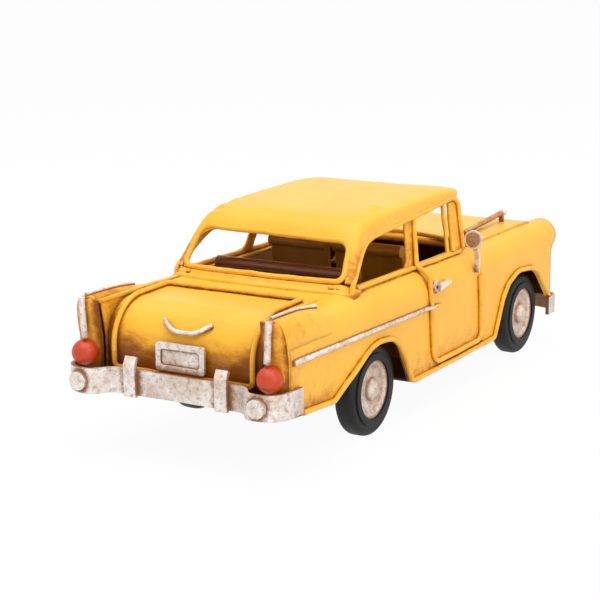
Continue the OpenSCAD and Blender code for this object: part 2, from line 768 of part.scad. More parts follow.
// Front sheet between the fenders, open for the grille and cut round the headlamp hoods
module front_panel() {
    x = front_axle_x + hood_front_ahead - sheet - seat;
    w = half_width - sheet - seat;
    color(paint) difference() {
        along_x(x - sheet, x) difference() {
            translate([-w, valance_z]) square([2 * w, hood_low_z - valance_z + grille_frame]);
            translate([-grille_half, grille_low_z]) square([2 * grille_half, hood_low_z - grille_low_z]);
        }
        for (s = [-1, 1])
            translate([x - sheet - overrun, s * lamp_y, lamp_z]) rotate([0, 90, 0])
                cylinder(h = sheet + overrun + overrun, r = lamp_hood_r + lamp_lip + seat);
    }
}

// Hood sheet, rolled down at the front and cut round the headlamp hoods
module hood_panel() {
    front = front_axle_x + hood_front_ahead;
    path = rounded([[rear_axle_x + hood_rear, hood_z], [front, hood_z - hood_fall], [front, hood_low_z]],
        [0, hood_roll_r, 0], steps = 8);
    color(paint) difference() {
        along_y(-hood_half, hood_half) polygon(strip(path, -sheet));
        for (s = [-1, 1])
            translate([lamp_x - overrun, s * lamp_y, lamp_z]) rotate([0, 90, 0])
                cylinder(h = lamp_hood_l + overrun + overrun, r = lamp_hood_r + lamp_lip + seat);
    }
}

// Two raised spears on the hood, each on a post at its front
module hood_spears() {
    rear = rear_axle_x + spear_rear;
    tip = front_axle_x + spear_tip_ahead;
    base = hood_z + seat;
    color(silver) for (s = [-1, 1]) {
        rod([rear, s * spear_y, base + spear_r], [tip, s * spear_y, base + spear_rise], spear_r);
        translate([tip, s * spear_y, base + spear_rise]) sphere(r = spear_tip_r);
        translate([tip - spear_tip_r, s * spear_y, base]) cylinder(h = spear_rise, r = spear_r);
    }
}

// Cowl between hood and windscreen, with the dashboard ridge
module cowl() {
    rear = rear_axle_x + cowl_rear;
    front = rear_axle_x + hood_rear - seat;
    low = floor_z + sheet + seat;
    color(paint) {
        mirror([1, 0, 0]) bowed_ledge(-front, -rear, hood_z - ledge_t, cowl_bow_r, cowl_half, cowl_ridge_r);
        translate([front - sheet, -cowl_half, low]) cube([sheet, 2 * cowl_half, hood_z - ledge_t / 2 - low]);
    }
}

// Grille: a plain frame with level bars, set into the front sheet
module grille() {
    x = front_axle_x + hood_front_ahead - sheet - seat - grille_t;
    half = grille_half - seat;
    low = grille_low_z + seat;
    h = hood_low_z - grille_low_z - 2 * seat;
    color(silver) {
        along_x(x, x + grille_t) translate([-half, low]) difference() {
            square([2 * half, h]);
            translate([grille_frame, grille_frame]) square([2 * (half - grille_frame),
                h - 2 * grille_frame]);
        }
        for (k = [1 : grille_bars])
            translate([x + grille_t / 2, 0, low + h * k / (grille_bars + 1)]) rotate([90, 0, 0])
                cylinder(h = 2 * half - grille_frame, r = grille_bar_r, center = true);
    }
}

// Roof: a crowned sheet with rolled edges, and the rear pillar sheets below it
function roof_point(u, v, inset) =
    let (half_l = (roof_front_x - roof_rear_x) / 2,
         x = (roof_front_x + roof_rear_x) / 2 + (half_l - inset) * sin(90 * u),
         y = (roof_half - inset) * sin(90 * v),
         edge = roof_edge_at(x),
         power = u < 0 ? roof_power_rear : roof_power_front,
         fall_x = pow(1 - pow(abs(sin(90 * u)), power), 1 / power),
         fall_y = pow(1 - pow(abs(sin(90 * v)), roof_power_across), 1 / roof_power_across))
    [x, y, edge + (roof_z - edge - inset) * fall_x * fall_y];
module roof_panel() {
    n = roof_steps;
    m = n + 1;
    points = concat([for (i = [0 : n], j = [0 : n]) roof_point(2 * i / n - 1, 2 * j / n - 1, 0)],
        [for (i = [0 : n], j = [0 : n]) roof_point(2 * i / n - 1, 2 * j / n - 1, sheet)]);
    function out(i, j) = i * m + j;
    function in(i, j) = m * m + i * m + j;
    skin = [for (i = [0 : n - 1], j = [0 : n - 1]) each [
        [out(i, j), out(i, j + 1), out(i + 1, j + 1)], [out(i, j), out(i + 1, j + 1), out(i + 1, j)],
        [in(i, j), in(i + 1, j + 1), in(i, j + 1)], [in(i, j), in(i + 1, j), in(i + 1, j + 1)]]];
    rim = [for (k = [0 : n - 1]) each [
        [out(0, k), in(0, k), in(0, k + 1)], [out(0, k), in(0, k + 1), out(0, k + 1)],
        [out(n, k), in(n, k + 1), in(n, k)], [out(n, k), out(n, k + 1), in(n, k + 1)],
        [out(k, 0), in(k + 1, 0), in(k, 0)], [out(k, 0), out(k + 1, 0), in(k + 1, 0)],
        [out(k, n), in(k, n), in(k + 1, n)], [out(k, n), in(k + 1, n), out(k + 1, n)]]];
    color(paint) {
        polyhedron(points, concat(skin, rim));
        rear_pillar();
        mirror([0, 1, 0]) rear_pillar();
    }
}

// Roof rail wire: up the rear pillar, along the roof's edge and down the front pillar, with the sill wires
rail_path = rounded([[rear_axle_x - rail_foot_back, rail_foot_y, rail_foot_z],
    [rear_axle_x + rail_knee, rail_y, roof_edge_at(rear_axle_x + rail_knee)],
    [roof_front_x, rail_y, roof_edge_front_z],
    [rear_axle_x + cabin_front, rail_foot_y, belt_at(rear_axle_x + cabin_front) + bead_out]],
    [0, rail_knee_r, rail_corner_r, 0], steps = 7);
belt_wire_spans = [[rear_axle_x - belt_wire_back, door_rear_x - bead_d - seat],
    [door_rear_x + bead_d + seat, rear_axle_x + cabin_front - bead_r]];
function belt_wire_at(x) = belt_at(x) + belt_wire_up - (x - rear_axle_x) * tan(belt_fall) / 2;
module roof_rail_left() {
    color(paint) {
        wire(rail_path, bead_r, [0, 1, 0.2]);
        for (span = belt_wire_spans)
            wire([for (x = span) [x, belt_wire_y, belt_wire_at(x)]], bead_r, [0, 1, 0]);
    }
}
module roof_rail_right() { right_side() roof_rail_left(); }

// Wire frame of the rear window
window_top_x = roof_rear_x - bead_out;
window_top_z = roof_edge_rear_z;
module rear_window_frame() {
    foot = rear_axle_x - window_foot_back;
    color(paint) wire(rounded([[foot, window_foot_y, window_foot_z], [window_top_x, window_top_y,
        window_top_z],
        [window_top_x, -window_top_y, window_top_z], [foot, -window_foot_y, window_foot_z],
        [foot - window_bow, 0, window_foot_z]],
        [window_foot_r, window_top_r, window_top_r, window_foot_r, ledge_bow_r], closed = true),
            bead_r, [1, 0, -0.6], closed = true);
}

// Flat four-cornered sheet, a to d counterclockwise seen from outside
module sheet_quad(a, b, c, d) {
    inward = unit(cross(c - a, b - d)) * sheet;
    points = [a, b, c, d, a + inward, b + inward, c + inward, d + inward];
    polyhedron(points, [[0, 2, 1], [0, 3, 2], [4, 5, 6], [4, 6, 7], [0, 5, 4], [0, 1, 5], [1, 6, 5],
        [1, 2, 6],
        [2, 7, 6], [2, 3, 7], [3, 4, 7], [3, 0, 4]]);
}

// Curved sheet between two paths of as many points, p the outer and q the inner one
module ruled_sheet(p, q) {
    n = len(p);
    back = [for (i = [0 : n - 1]) unit(cross(heading(p, i), q[i] - p[i])) * sheet];
    points = concat(p, q, [for (i = [0 : n - 1]) p[i] + back[i]], [for (i = [0 : n - 1]) q[i] + back[i]]);
    function a(i) = i;
    function b(i) = n + i;
    function c(i) = 2 * n + i;
    function d(i) = 3 * n + i;
    walls = [for (i = [0 : n - 2]) each [[a(i), b(i + 1), b(i)], [a(i), a(i + 1), b(i + 1)],
        [c(i), d(i), d(i + 1)], [c(i), d(i + 1), c(i + 1)], [a(i + 1), a(i), c(i)], [a(i + 1), c(i),
            c(i + 1)],
        [b(i), b(i + 1), d(i + 1)], [b(i), d(i + 1), d(i)]]];
    polyhedron(points, concat(walls, [[a(0), b(0), d(0)], [a(0), d(0), c(0)],
        [b(n - 1), a(n - 1), c(n - 1)], [b(n - 1), c(n - 1), d(n - 1)]]));
}

// Sheet of the rear pillar, swelled between the window frame and the roof rail
module rear_pillar() {
    n = 8;
    foot = [rear_axle_x - window_foot_back, window_foot_y + bead_d, window_foot_z - bead_r / 2];
    top = [window_top_x, window_top_y + bead_d, window_top_z + bead_r];
    rail = [for (i = [0 : n]) rail_path[i] + [0, -bead_d, i == 0 ? 2 * bead_d : 0]];
    side = [for (i = [0 : n]) foot + (top - foot) * i / n];
    swell = [for (i = [0 : n]) rail[i] * pillar_rail_share + side[i] * (1 - pillar_rail_share)
        + [-pillar_swell / 3, pillar_swell, 0] * sin(30 + 120 * i / n)];
    ruled_sheet(rail, swell);
    ruled_sheet(swell, side);
}

// Wire frame of the wrap-round windscreen
module windscreen_frame() {
    foot = rear_axle_x + screen_foot;
    top = roof_front_x + bead_out;
    color(paint) wire(rounded([[foot, screen_foot_y, screen_foot_z], [foot + screen_bow, 0, screen_foot_z],
        [foot, -screen_foot_y, screen_foot_z], [top, -window_top_y, roof_edge_front_z - seat],
        [top, window_top_y, roof_edge_front_z - seat]],
        [screen_r, cowl_bow_r / 4, screen_r, screen_r, screen_r], closed = true), bead_r, [1, 0, 0.1],
            closed = true);
}

// Posts of the front quarter windows
module vent_posts() {
    x = rear_axle_x + vent_x;
    color(paint) for (s = [-1, 1])
        rod([x, s * belt_wire_y, belt_wire_at(x) + bead_d],
            [x + bead_d, s * rail_y, roof_edge_at(x + bead_d) - bead_r - seat], bead_r);
}

// Floor: one bent sheet, stepped up behind the rear wheels, with bearing flanges and bumper straps
module floor_pan() {
    front = nose_x - lamp_rim_l;
    path = rounded([[front, floor_z], [rear_axle_x - floor_step, floor_z],
        [rear_axle_x - floor_step - sheet, trunk_floor_z], [rear_axle_x - bar_back + bumper_t + seat,
            trunk_floor_z]],
        [0, arch_foot_r, arch_foot_r, 0]);
    wide_rear = rear_axle_x + rear_arch_front + bead_d;
    wide_front = front_axle_x - front_arch_foot - bead_d;
    trunk_front = rear_axle_x - floor_step - arch_foot_r;
    color("#6e5a3c") difference() {
        union() {
            along_y(-flange_y, flange_y) polygon(strip(path, -sheet));
            translate([wide_rear, -floor_edge, floor_z]) cube([wide_front - wide_rear, 2 * floor_edge,
                sheet]);
            translate([tail_x, -floor_edge, trunk_floor_z])
                cube([trunk_front - tail_x, 2 * floor_edge, sheet]);
            for (s = [-1, 1], x = [rear_axle_x, front_axle_x])
                translate([x, s * (flange_y - sheet / 2), 0]) rotate([90, 0, 0])
                    linear_extrude(sheet, center = true) bearing_flange();
            for (s = [-1, 1])
                translate([front - sheet, s * strap_y - strap_w / 2, floor_z])
                    cube([front_axle_x + front_overhang - 2 * bumper_t - 3 * seat - front + sheet,
                        strap_w, sheet]);
        }
        for (x = [rear_axle_x, front_axle_x])
            translate([x, 0, axle_z]) rotate([90, 0, 0])
                cylinder(h = 2 * flange_y + overrun, r = axle_r + axle_clearance, center = true);
    }
}
module bearing_flange() {
    polygon(rounded([[-flange_l / 2, floor_z + sheet / 2], [flange_l / 2, floor_z + sheet / 2],
        [flange_l / 4, floor_z + flange_h], [-flange_l / 4, floor_z + flange_h]], [0, 0, axle_r,
            axle_r], closed = true));
}

// Seat section in (x, z): leaning back with a rolled top, cushion and base
module seat_section(x, top, cushion, base_x) {
    z0 = floor_z + sheet + seat;
    roll = [x + seat_roll_r, top - seat_roll_r];
    polygon([roll, [x + seat_lean, cushion_z - cushion_h], [x + seat_lean + seat_back_t,
        cushion_z - cushion_h],
        [x + seat_lean + seat_back_t, cushion_z], roll + [seat_roll_r, 0]]);
    translate(roll) circle(r = seat_roll_r, $fn = 32);
    polygon(rounded([[x + seat_lean, cushion_z - cushion_h], [x + seat_lean + cushion,
        cushion_z - cushion_h],
        [x + seat_lean + cushion, cushion_z], [x + seat_lean, cushion_z]], [0, seat_back_t,
            seat_back_t, 0], closed = true));
    translate([base_x, z0]) square([x + seat_lean + cushion - seat_back_t - base_x,
        cushion_z - cushion_h / 2 - z0]);
}
module front_seat_left() {
    x = rear_axle_x + front_seat_x;
    color(brown) along_y(seat_gap_y + seat_gap_half, seat_shift + seat_half)
        seat_section(x, front_seat_z, cushion_l, x + seat_lean + seat_back_t);
}
module front_seat_right() {
    x = rear_axle_x + front_seat_x;
    color(brown) along_y(seat_shift - seat_half, seat_gap_y - seat_gap_half)
        seat_section(x, front_seat_z, cushion_l, x + seat_lean + seat_back_t);
}
module rear_seat() {
    x = rear_axle_x + rear_seat_x;
    color(brown) along_y(-rear_seat_half, rear_seat_half)
        seat_section(x, rear_seat_z, rear_cushion_l, x + seat_lean + rear_cushion_l - 2 * seat_back_t);
}

// Steering wheel on a column that stands on the floor ahead of it
module steering_wheel() {
    color(brown) translate([rear_axle_x + steer_x, steer_y, steer_z]) rotate([0, steer_lean, 0]) {
        rotate_extrude() translate([wheel_ring_r, 0]) circle(r = wheel_rod_r, $fn = 16);
        for (a = [0, 120, 240])
            rotate([0, 0, a]) rotate([0, 90, 0]) cylinder(h = wheel_ring_r, r = wheel_rod_r, $fn = 16);
        sphere(r = 2 * wheel_rod_r);
        cylinder(h = (floor_z + sheet + wheel_rod_r - steer_z) / cos(steer_lean), r = wheel_rod_r, $fn = 16);
    }
}

// Axle rod, its ends in the wheel discs' bosses
module axle_rod(x) {
    half = track_half - disc_wall - disc_lip - seat;
    color("#8c8c8c") translate([x, 0, axle_z]) rotate([90, 0, 0]) cylinder(h = 2 * half, r = axle_r,
        center = true);
}
module rear_axle() { axle_rod(rear_axle_x); }
module front_axle() { axle_rod(front_axle_x); }

// Pressed wheel disc: a flanged cup with a dished face, a round boss and an inner hub tube
module wheel_disc(x) {
    r = disc_d / 2;
    face = track_half - disc_lip;
    inner = track_half - tyre_w + disc_wall;
    hub_end = flange_y + hub_gap;
    boss = boss_d / 2;
    color(silver) translate([x, 0, axle_z]) rotate([-90, 0, 0]) rotate_extrude() difference() {
        union() {
            polygon([[0, face - disc_dish - disc_wall], [r - disc_wall, face - disc_dish - disc_wall],
                [r - disc_wall, inner], [r, inner], [r, face], [r - disc_wall, face],
                [r - 2 * disc_wall, face - disc_dish], [0, face - disc_dish]]);
            polygon(concat([[0, face - disc_dish - disc_wall / 2], [boss,
                face - disc_dish - disc_wall / 2], [boss, face - disc_dish]],
                [for (k = [0 : 5]) [boss * cos(18 * k),
                    face - disc_dish + (boss_rise + disc_dish) * sin(18 * k)]]));
            translate([0, hub_end]) square([hub_r, face - disc_dish - disc_wall / 2 - hub_end]);
        }
        square([axle_r + disc_seat, face - disc_wall]);
    }
}
module rear_disc_left() { wheel_disc(rear_axle_x); }
module rear_disc_right() { right_side() wheel_disc(rear_axle_x); }
module front_disc_left() { wheel_disc(front_axle_x); }
module front_disc_right() { right_side() wheel_disc(front_axle_x); }

// Tyre with round shoulders and a step on its outer wall
module tyre(x) {
    r = tyre_d / 2;
    bore = disc_d / 2 + disc_seat;
    inner = track_half - tyre_w;
    color("#26282a") translate([x, 0, axle_z]) rotate([-90, 0, 0]) rotate_extrude($fn = 96)
        polygon(rounded([[bore, inner], [r, inner], [r, track_half - tyre_step], [tyre_step_r,
            track_half - tyre_step],
            [tyre_step_r, track_half], [bore, track_half]],
            [0, tyre_shoulder_r, tyre_shoulder_r, 0, tyre_step / 2, 0], closed = true, steps = 6));
}
module rear_tyre_left() { tyre(rear_axle_x); }
module rear_tyre_right() { right_side() tyre(rear_axle_x); }
module front_tyre_left() { tyre(front_axle_x); }
module front_tyre_right() { right_side() tyre(front_axle_x); }

floor_pan();
side_panel_left();
side_panel_right();
front_fender_left();
front_fender_right();
headlamp_hood_left();
headlamp_hood_right();
headlamp_left();
headlamp_right();
deck_panel();
lid_bead();
rear_ledge();
tail_cap_left();
tail_cap_right();
fin_strip_left();
fin_strip_right();
fin_trim_left();
fin_trim_right();
tail_lamp_left();
tail_lamp_right();
lift_handle();
licence_plate();
rear_bumper();
rear_overriders();
hood_panel();
hood_spears();
cowl();
grille();
front_bumper();
front_panel();
roof_panel();
rear_window_frame();
windscreen_frame();
roof_rail_left();
roof_rail_right();
door_bead_left();
door_bead_right();
vent_posts();
edge_bead_left();
edge_bead_right();
side_trim_left();
side_trim_right();
door_handle_left();
door_handle_right();
mirror_left();
mirror_right();
front_seat_left();
front_seat_right();
rear_seat();
steering_wheel();
rear_axle();
front_axle();
rear_disc_left();
rear_disc_right();
front_disc_left();
front_disc_right();
rear_tyre_left();
rear_tyre_right();
front_tyre_left();
front_tyre_right();
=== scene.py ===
# Handmade tinplate toy taxi: enamelled sheet panels, soldered bead wires, silver-painted trim, rubber tyres.
# Blender's lengths are metres in the CAD frame: +X forward, +Y to the car's left, +Z up.
# Paths, sections and places of pieces are written in millimetres.
import json
import math

import bmesh
import bpy
from mathutils import Matrix, Vector, noise


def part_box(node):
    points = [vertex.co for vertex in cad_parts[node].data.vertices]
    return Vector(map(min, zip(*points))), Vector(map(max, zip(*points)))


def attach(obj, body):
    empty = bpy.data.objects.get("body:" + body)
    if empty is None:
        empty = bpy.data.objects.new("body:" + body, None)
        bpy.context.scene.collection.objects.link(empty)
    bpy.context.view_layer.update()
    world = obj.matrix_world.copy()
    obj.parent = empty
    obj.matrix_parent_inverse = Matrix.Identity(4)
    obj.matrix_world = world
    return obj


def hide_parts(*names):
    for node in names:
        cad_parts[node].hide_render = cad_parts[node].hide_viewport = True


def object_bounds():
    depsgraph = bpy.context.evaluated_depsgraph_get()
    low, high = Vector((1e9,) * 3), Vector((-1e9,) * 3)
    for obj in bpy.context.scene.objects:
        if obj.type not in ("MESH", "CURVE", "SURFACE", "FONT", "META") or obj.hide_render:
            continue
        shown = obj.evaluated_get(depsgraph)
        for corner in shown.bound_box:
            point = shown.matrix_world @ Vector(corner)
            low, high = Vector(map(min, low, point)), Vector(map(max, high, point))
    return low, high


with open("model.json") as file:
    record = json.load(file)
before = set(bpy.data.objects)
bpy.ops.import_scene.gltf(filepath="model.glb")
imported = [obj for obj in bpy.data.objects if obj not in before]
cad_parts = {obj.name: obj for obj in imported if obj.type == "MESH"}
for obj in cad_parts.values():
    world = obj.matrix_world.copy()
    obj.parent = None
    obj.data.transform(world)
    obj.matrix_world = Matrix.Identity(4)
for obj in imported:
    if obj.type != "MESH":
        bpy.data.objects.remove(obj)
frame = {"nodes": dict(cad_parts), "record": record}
cad_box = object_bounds()
nodes = frame["nodes"]
body_of = {node: body for body, names in frame["record"]["behaviour"]["bodies"].items() for node in names}


# Camera: a long lens behind the car's right rear corner, a little above its roof.
# Its place, its angles and its lens are fitted to the photograph.
def placed(name, data):
    """A new object in the scene, at the origin."""
    thing = bpy.data.objects.new(name, data)
    bpy.context.collection.objects.link(thing)
    return thing


camera_place = (-0.37988, -0.20987, 0.12408)
heading, dip, roll = (math.radians(a) for a in (30.409, -12.961, -0.486))
camera = placed("camera", bpy.data.cameras.new("camera"))
camera.data.sensor_width = 36.0
camera.data.lens = 101.42
camera.data.clip_start = 0.01
ahead = Vector((math.cos(dip) * math.cos(heading), math.cos(dip) * math.sin(heading), math.sin(dip)))
right = ahead.cross(Vector((0, 0, 1))).normalized()
up = right.cross(ahead)
right, up = right * math.cos(roll) + up * math.sin(roll), up * math.cos(roll) - right * math.sin(roll)
camera.matrix_world = Matrix.Translation(camera_place) @ Matrix((right, up, -ahead)).transposed().to_4x4()
bpy.context.scene.camera = camera
bpy.context.scene.view_settings.view_transform = "Standard"


# Studio: floor and surround of white card, one large soft lamp overhead and a weak one from the right.
# The camera and reflections see the card as white, and the floor keeps the car's shadow.
def add(tree, kind, inputs=None, **settings):
    """A node with its settings, and with values or links on its inputs."""
    node = tree.nodes.new(kind)
    for key, value in settings.items():
        setattr(node, key, value)
    for key, value in (inputs or {}).items():
        if isinstance(value, bpy.types.NodeSocket):
            tree.links.new(value, node.inputs[key])
        else:
            node.inputs[key].default_value = value
    return node


def tint(code):
    """Linear colour of an sRGB hex value."""
    parts = [int(code[i:i + 2], 16) / 255 for i in (1, 3, 5)]
    return [c / 12.92 if c <= 0.04045 else ((c + 0.055) / 1.055) ** 2.4 for c in parts] + [1.0]


def seen_share(tree):
    """One for the rays that show the card itself, and zero for those that only light the car."""
    rays = add(tree, "ShaderNodeLightPath").outputs
    seen = add(tree, "ShaderNodeMath", {0: rays["Is Camera Ray"], 1: rays["Is Glossy Ray"]}, operation="MAXIMUM")
    return seen.outputs[0]


world = bpy.data.worlds.new("surround")
bpy.context.scene.world = world
world.use_nodes = True
tree = world.node_tree
tree.nodes.clear()
glow = add(tree, "ShaderNodeMixRGB", {"Fac": seen_share(tree), "Color1": (0.5, 0.5, 0.5, 1), "Color2": (1, 1, 1, 1)})
back = add(tree, "ShaderNodeBackground", {"Color": glow.outputs[0], "Strength": 1.0})
add(tree, "ShaderNodeOutputWorld", {"Surface": back.outputs[0]})

lamp_aim = Vector((0, 0, 0.03))
for name, spot, size, power in (("overhead", (-0.10, -0.05, 0.75), 0.9, 5.9),
                                ("right_fill", (-0.25, -0.70, 0.35), 0.6, 1.5)):
    lamp = placed(name, bpy.data.lights.new(name, "AREA"))
    lamp.data.energy = power
    lamp.data.size = size
    lamp.location = spot
    lamp.rotation_euler = (lamp_aim - Vector(spot)).to_track_quat("-Z", "Y").to_euler()

floor_half = 6
floor = placed("floor", bpy.data.meshes.new("floor"))
floor.data.from_pydata([(x * floor_half, y * floor_half, 0) for x, y in ((-1, -1), (1, -1), (1, 1), (-1, 1))],
                       [], [(0, 1, 2, 3)])
# White card: matt and even, a twentieth short of pure white so that the shadow still shows
white = bpy.data.materials.new("white_card")
white.use_nodes = True
tree = white.node_tree
shade = tree.nodes["Principled BSDF"]
shade.inputs["Base Color"].default_value = tint("#f2f2f2")
shade.inputs["Roughness"].default_value = 0.9
lit = add(tree, "ShaderNodeEmission", {"Color": (1, 1, 1, 1), "Strength": 1.0})
part = add(tree, "ShaderNodeMath", {0: seen_share(tree), 1: 0.95}, operation="MULTIPLY")
mix = add(tree, "ShaderNodeMixShader", {0: part.outputs[0], 1: shade.outputs[0], 2: lit.outputs[0]})
tree.links.new(mix.outputs[0], tree.nodes["Material Output"].inputs["Surface"])
floor.data.materials.append(white)


# Yellow body sheets: thin tin, hand bent and soldered, with brushed alkyd enamel under a brown wash.
# The wash, wiped off the open faces, stays in every corner with painted shade; the sheets keep a slight hammered
# wave.
def new_coat(name):
    """A material with its tree, its shader and the object's own coordinates."""
    mat = bpy.data.materials.new(name)
    mat.use_nodes = True
    tree = mat.node_tree
    return mat, tree, tree.nodes["Principled BSDF"], add(tree, "ShaderNodeTexCoord").outputs["Object"]


def enamel(name, light, deep, wash_and_shade_tint, dark, corner_wash_and_shade_strength):
    """Brushed enamel: an even satin colour, browner with wash and painted shade in the corners and where a piece
    carries patina.
    """
    mat, tree, shade, place = new_coat(name)
    # Tone drift of the brush over about 18 mm
    drift = add(tree, "ShaderNodeTexNoise", {"Vector": place, "Scale": 55, "Detail": 3, "Roughness": 0.5})
    base = add(tree, "ShaderNodeMixRGB", {"Fac": drift.outputs["Fac"], "Color1": tint(light), "Color2": tint(deep)})
    # Wash and painted shade within 1.5 mm of a corner, broken up over about 2.4 mm
    corner = add(tree, "ShaderNodeAmbientOcclusion", {"Distance": 0.0015}, samples=8)
    patch = add(tree, "ShaderNodeTexNoise", {"Vector": place, "Scale": 420, "Detail": 4, "Roughness": 0.65})
    open_share = add(tree, "ShaderNodeMath", {0: corner.outputs["AO"], 1: patch.outputs["Fac"]}, operation="ADD")
    corner_wash_and_shade = add(tree, "ShaderNodeMapRange", {"Value": open_share.outputs[0], "From Min": 1.27, "From Max": 0.88})
    wash_and_shade_amount = add(tree, "ShaderNodeMath", {0: corner_wash_and_shade.outputs[0], 1: corner_wash_and_shade_strength}, operation="MULTIPLY")
    washed_and_shaded = add(tree, "ShaderNodeMixRGB", {"Fac": wash_and_shade_amount.outputs[0], "Color1": base.outputs[0], "Color2": tint(wash_and_shade_tint)})
    # Chips of about 1.3 mm where the wash pooled, and painted shade deepest in the corners
    chip = add(tree, "ShaderNodeTexNoise", {"Vector": place, "Scale": 760, "Detail": 2, "Roughness": 0.5})
    pooled_wash_and_shade = add(tree, "ShaderNodeMath", {0: open_share.outputs[0], 1: chip.outputs["Fac"]}, operation="ADD")
    # Patina and painted shade where the piece carries them: rubbed streaks of about 2 mm by 5 mm, lying across the
    # car
    worn_and_shaded = add(tree, "ShaderNodeAttribute", attribute_name="patina_and_shade")
    along = add(tree, "ShaderNodeMapping", {"Vector": place, "Scale": (1.0, 0.4, 1.0)})
    blot = add(tree, "ShaderNodeTexNoise", {"Vector": along.outputs[0], "Scale": 480, "Detail": 6, "Roughness": 0.7})
    wide = add(tree, "ShaderNodeMath", {0: worn_and_shaded.outputs["Fac"], 1: blot.outputs["Fac"]}, operation="ADD")
    # Layers: dark dashes and black flecks of the pooled wash and painted shade,
    # then an amber film, brown and soot of the patina and painted shade
    coat = washed_and_shaded
    for amount, low, high, most, colour in (
            (pooled_wash_and_shade, 1.28, 1.08, 0.85, dark), (pooled_wash_and_shade, 1.17, 1.06, 0.9, "#2f1a0a"), (wide, 0.66, 1.05, 0.7, "#dd8c1c"),
            (wide, 0.88, 1.32, 0.94, "#8a4504"), (wide, 1.35, 2.1, 0.9, "#331905")):
        layer = add(tree, "ShaderNodeMapRange", {"Value": amount.outputs[0], "From Min": low, "From Max": high,
                                                 "To Max": most})
        coat = add(tree, "ShaderNodeMixRGB", {"Fac": layer.outputs[0], "Color1": coat.outputs[0],
                                              "Color2": tint(colour)})
    tree.links.new(coat.outputs[0], shade.inputs["Base Color"])
    rough = add(tree, "ShaderNodeMapRange", {"Value": wash_and_shade_amount.outputs[0], "To Min": 0.36, "To Max": 0.75})
    tree.links.new(rough.outputs[0], shade.inputs["Roughness"])
    shade.inputs["Specular IOR Level"].default_value = 0.26
    # Cut edges are softened by 0.5 mm of paint
    soft = add(tree, "ShaderNodeBevel", {"Radius": 0.0005}, samples=4)
    skin = add(tree, "ShaderNodeBump", {"Height": patch.outputs["Fac"], "Strength": 0.25, "Distance": 0.00015,
                                        "Normal": soft.outputs[0]})
    tree.links.new(skin.outputs[0], shade.inputs["Normal"])
    return mat


# Yellow enamel: warm and satin, with brown lines of wash and painted shade along every wire and fold
yellow_enamel = enamel("yellow_enamel", "#fbc144", "#f2af31", "#b5711f", "#85500f", 0.85)
mm = 0.001
# Hammered waves of about 14 mm, with a fixed seed so that each run gives the same sheets
sheet_wave = 70.0
noise.seed_set(7)


def dress(name, mat=yellow_enamel, grain=0.0, wave=0.0, sharp=35.0, stain_and_shade=None):
    """A merged copy of a CAD node with smooth faces, cut finer and waved where it is thin sheet."""
    mesh = nodes[name].data.copy()
    low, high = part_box(name)
    bm = bmesh.new()
    bm.from_mesh(mesh)
    bmesh.ops.remove_doubles(bm, verts=bm.verts, dist=1e-6)
    bmesh.ops.dissolve_limit(bm, angle_limit=math.radians(0.5), verts=bm.verts, edges=bm.edges)
    if grain:
        for axis in range(3):
            count = int((high[axis] - low[axis]) / grain)
            for k in range(1, count + 1):
                spot, way = Vector(), Vector()
                spot[axis] = low[axis] + k * (high[axis] - low[axis]) / (count + 1)
                way[axis] = 1.0
                bmesh.ops.bisect_plane(bm, geom=bm.verts[:] + bm.edges[:] + bm.faces[:], dist=1e-6,
                                       plane_co=spot, plane_no=way)
    bmesh.ops.triangulate(bm, faces=[f for f in bm.faces if len(f.verts) > 4])
    if wave:
        for v in bm.verts:
            moved = v.co + wave * noise.noise_vector(v.co * sheet_wave)
            v.co = [min(max(c, a), b) for c, a, b in zip(moved, low, high)]
    # Patina per point, which on some pieces also holds painted shade
    if stain_and_shade:
        share = bm.verts.layers.float.new("patina_and_shade")
        for v in bm.verts:
            v[share] = max(0.0, stain_and_shade(*(v.co * 1000)))
    for f in bm.faces:
        f.smooth = True
    for e in bm.edges:
        e.smooth = len(e.link_faces) == 2 and e.calc_face_angle(0.0) < math.radians(sharp)
    bm.to_mesh(mesh)
    bm.free()
    mesh.materials.clear()
    mesh.materials.append(mat)
    piece = placed("painted_" + name, mesh)
    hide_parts(name)
    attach(piece, body_of[name])
    return piece


def ramp(value, low, high):
    """Zero at low, one at high and even between them."""
    return min(1.0, max(0.0, (value - low) / (high - low)))


def deck_stain_and_shade(x, y, z):
    """Wash that ran down the rear face and gathered along the lid's wire; the browning towards the foot is painted
    shade too.
    """
    return (1.05 * ramp(z, 32, 22.6) + 0.5 * ramp(abs(y), 12, 21) * ramp(z, 36.5, 31)
            + 0.45 * ramp(abs(y), 18.9, 19.6) * ramp(z, 36.5, 34))


def side_stain_and_shade(x, y, z):
    """Wash at the tail, wash and painted shade along the skirt, and painted shade in dark brown on the inner face.
    """
    return (0.42 * ramp(z, 20, 12) + 0.12 * ramp(x, -30, -60)
            + 0.3 * ramp(z, 22, 16) * ramp(x, -52, -62) + 0.3 * ramp(x, -70, -75)
            + 1.9 * ramp(abs(y), 28.1, 27.8) * ramp(z, 28, 25))


def cap_stain(x, y, z):
    """Wash on the tail end, deepest at its inner edge and foot."""
    return 0.3 + 0.5 * ramp(abs(y), 26.5, 23) + 0.4 * ramp(z, 27, 21)


sides = ("left", "right")
dress("deck_panel", grain=0.002, wave=0.00012, stain_and_shade=deck_stain_and_shade)
dress("hood_panel", grain=0.004, wave=0.00012)
# The cowl is dark brown below the hood: painted shade inside the body
dress("cowl", grain=0.004, stain_and_shade=lambda x, y, z: 1.5 * ramp(z, 37, 35))
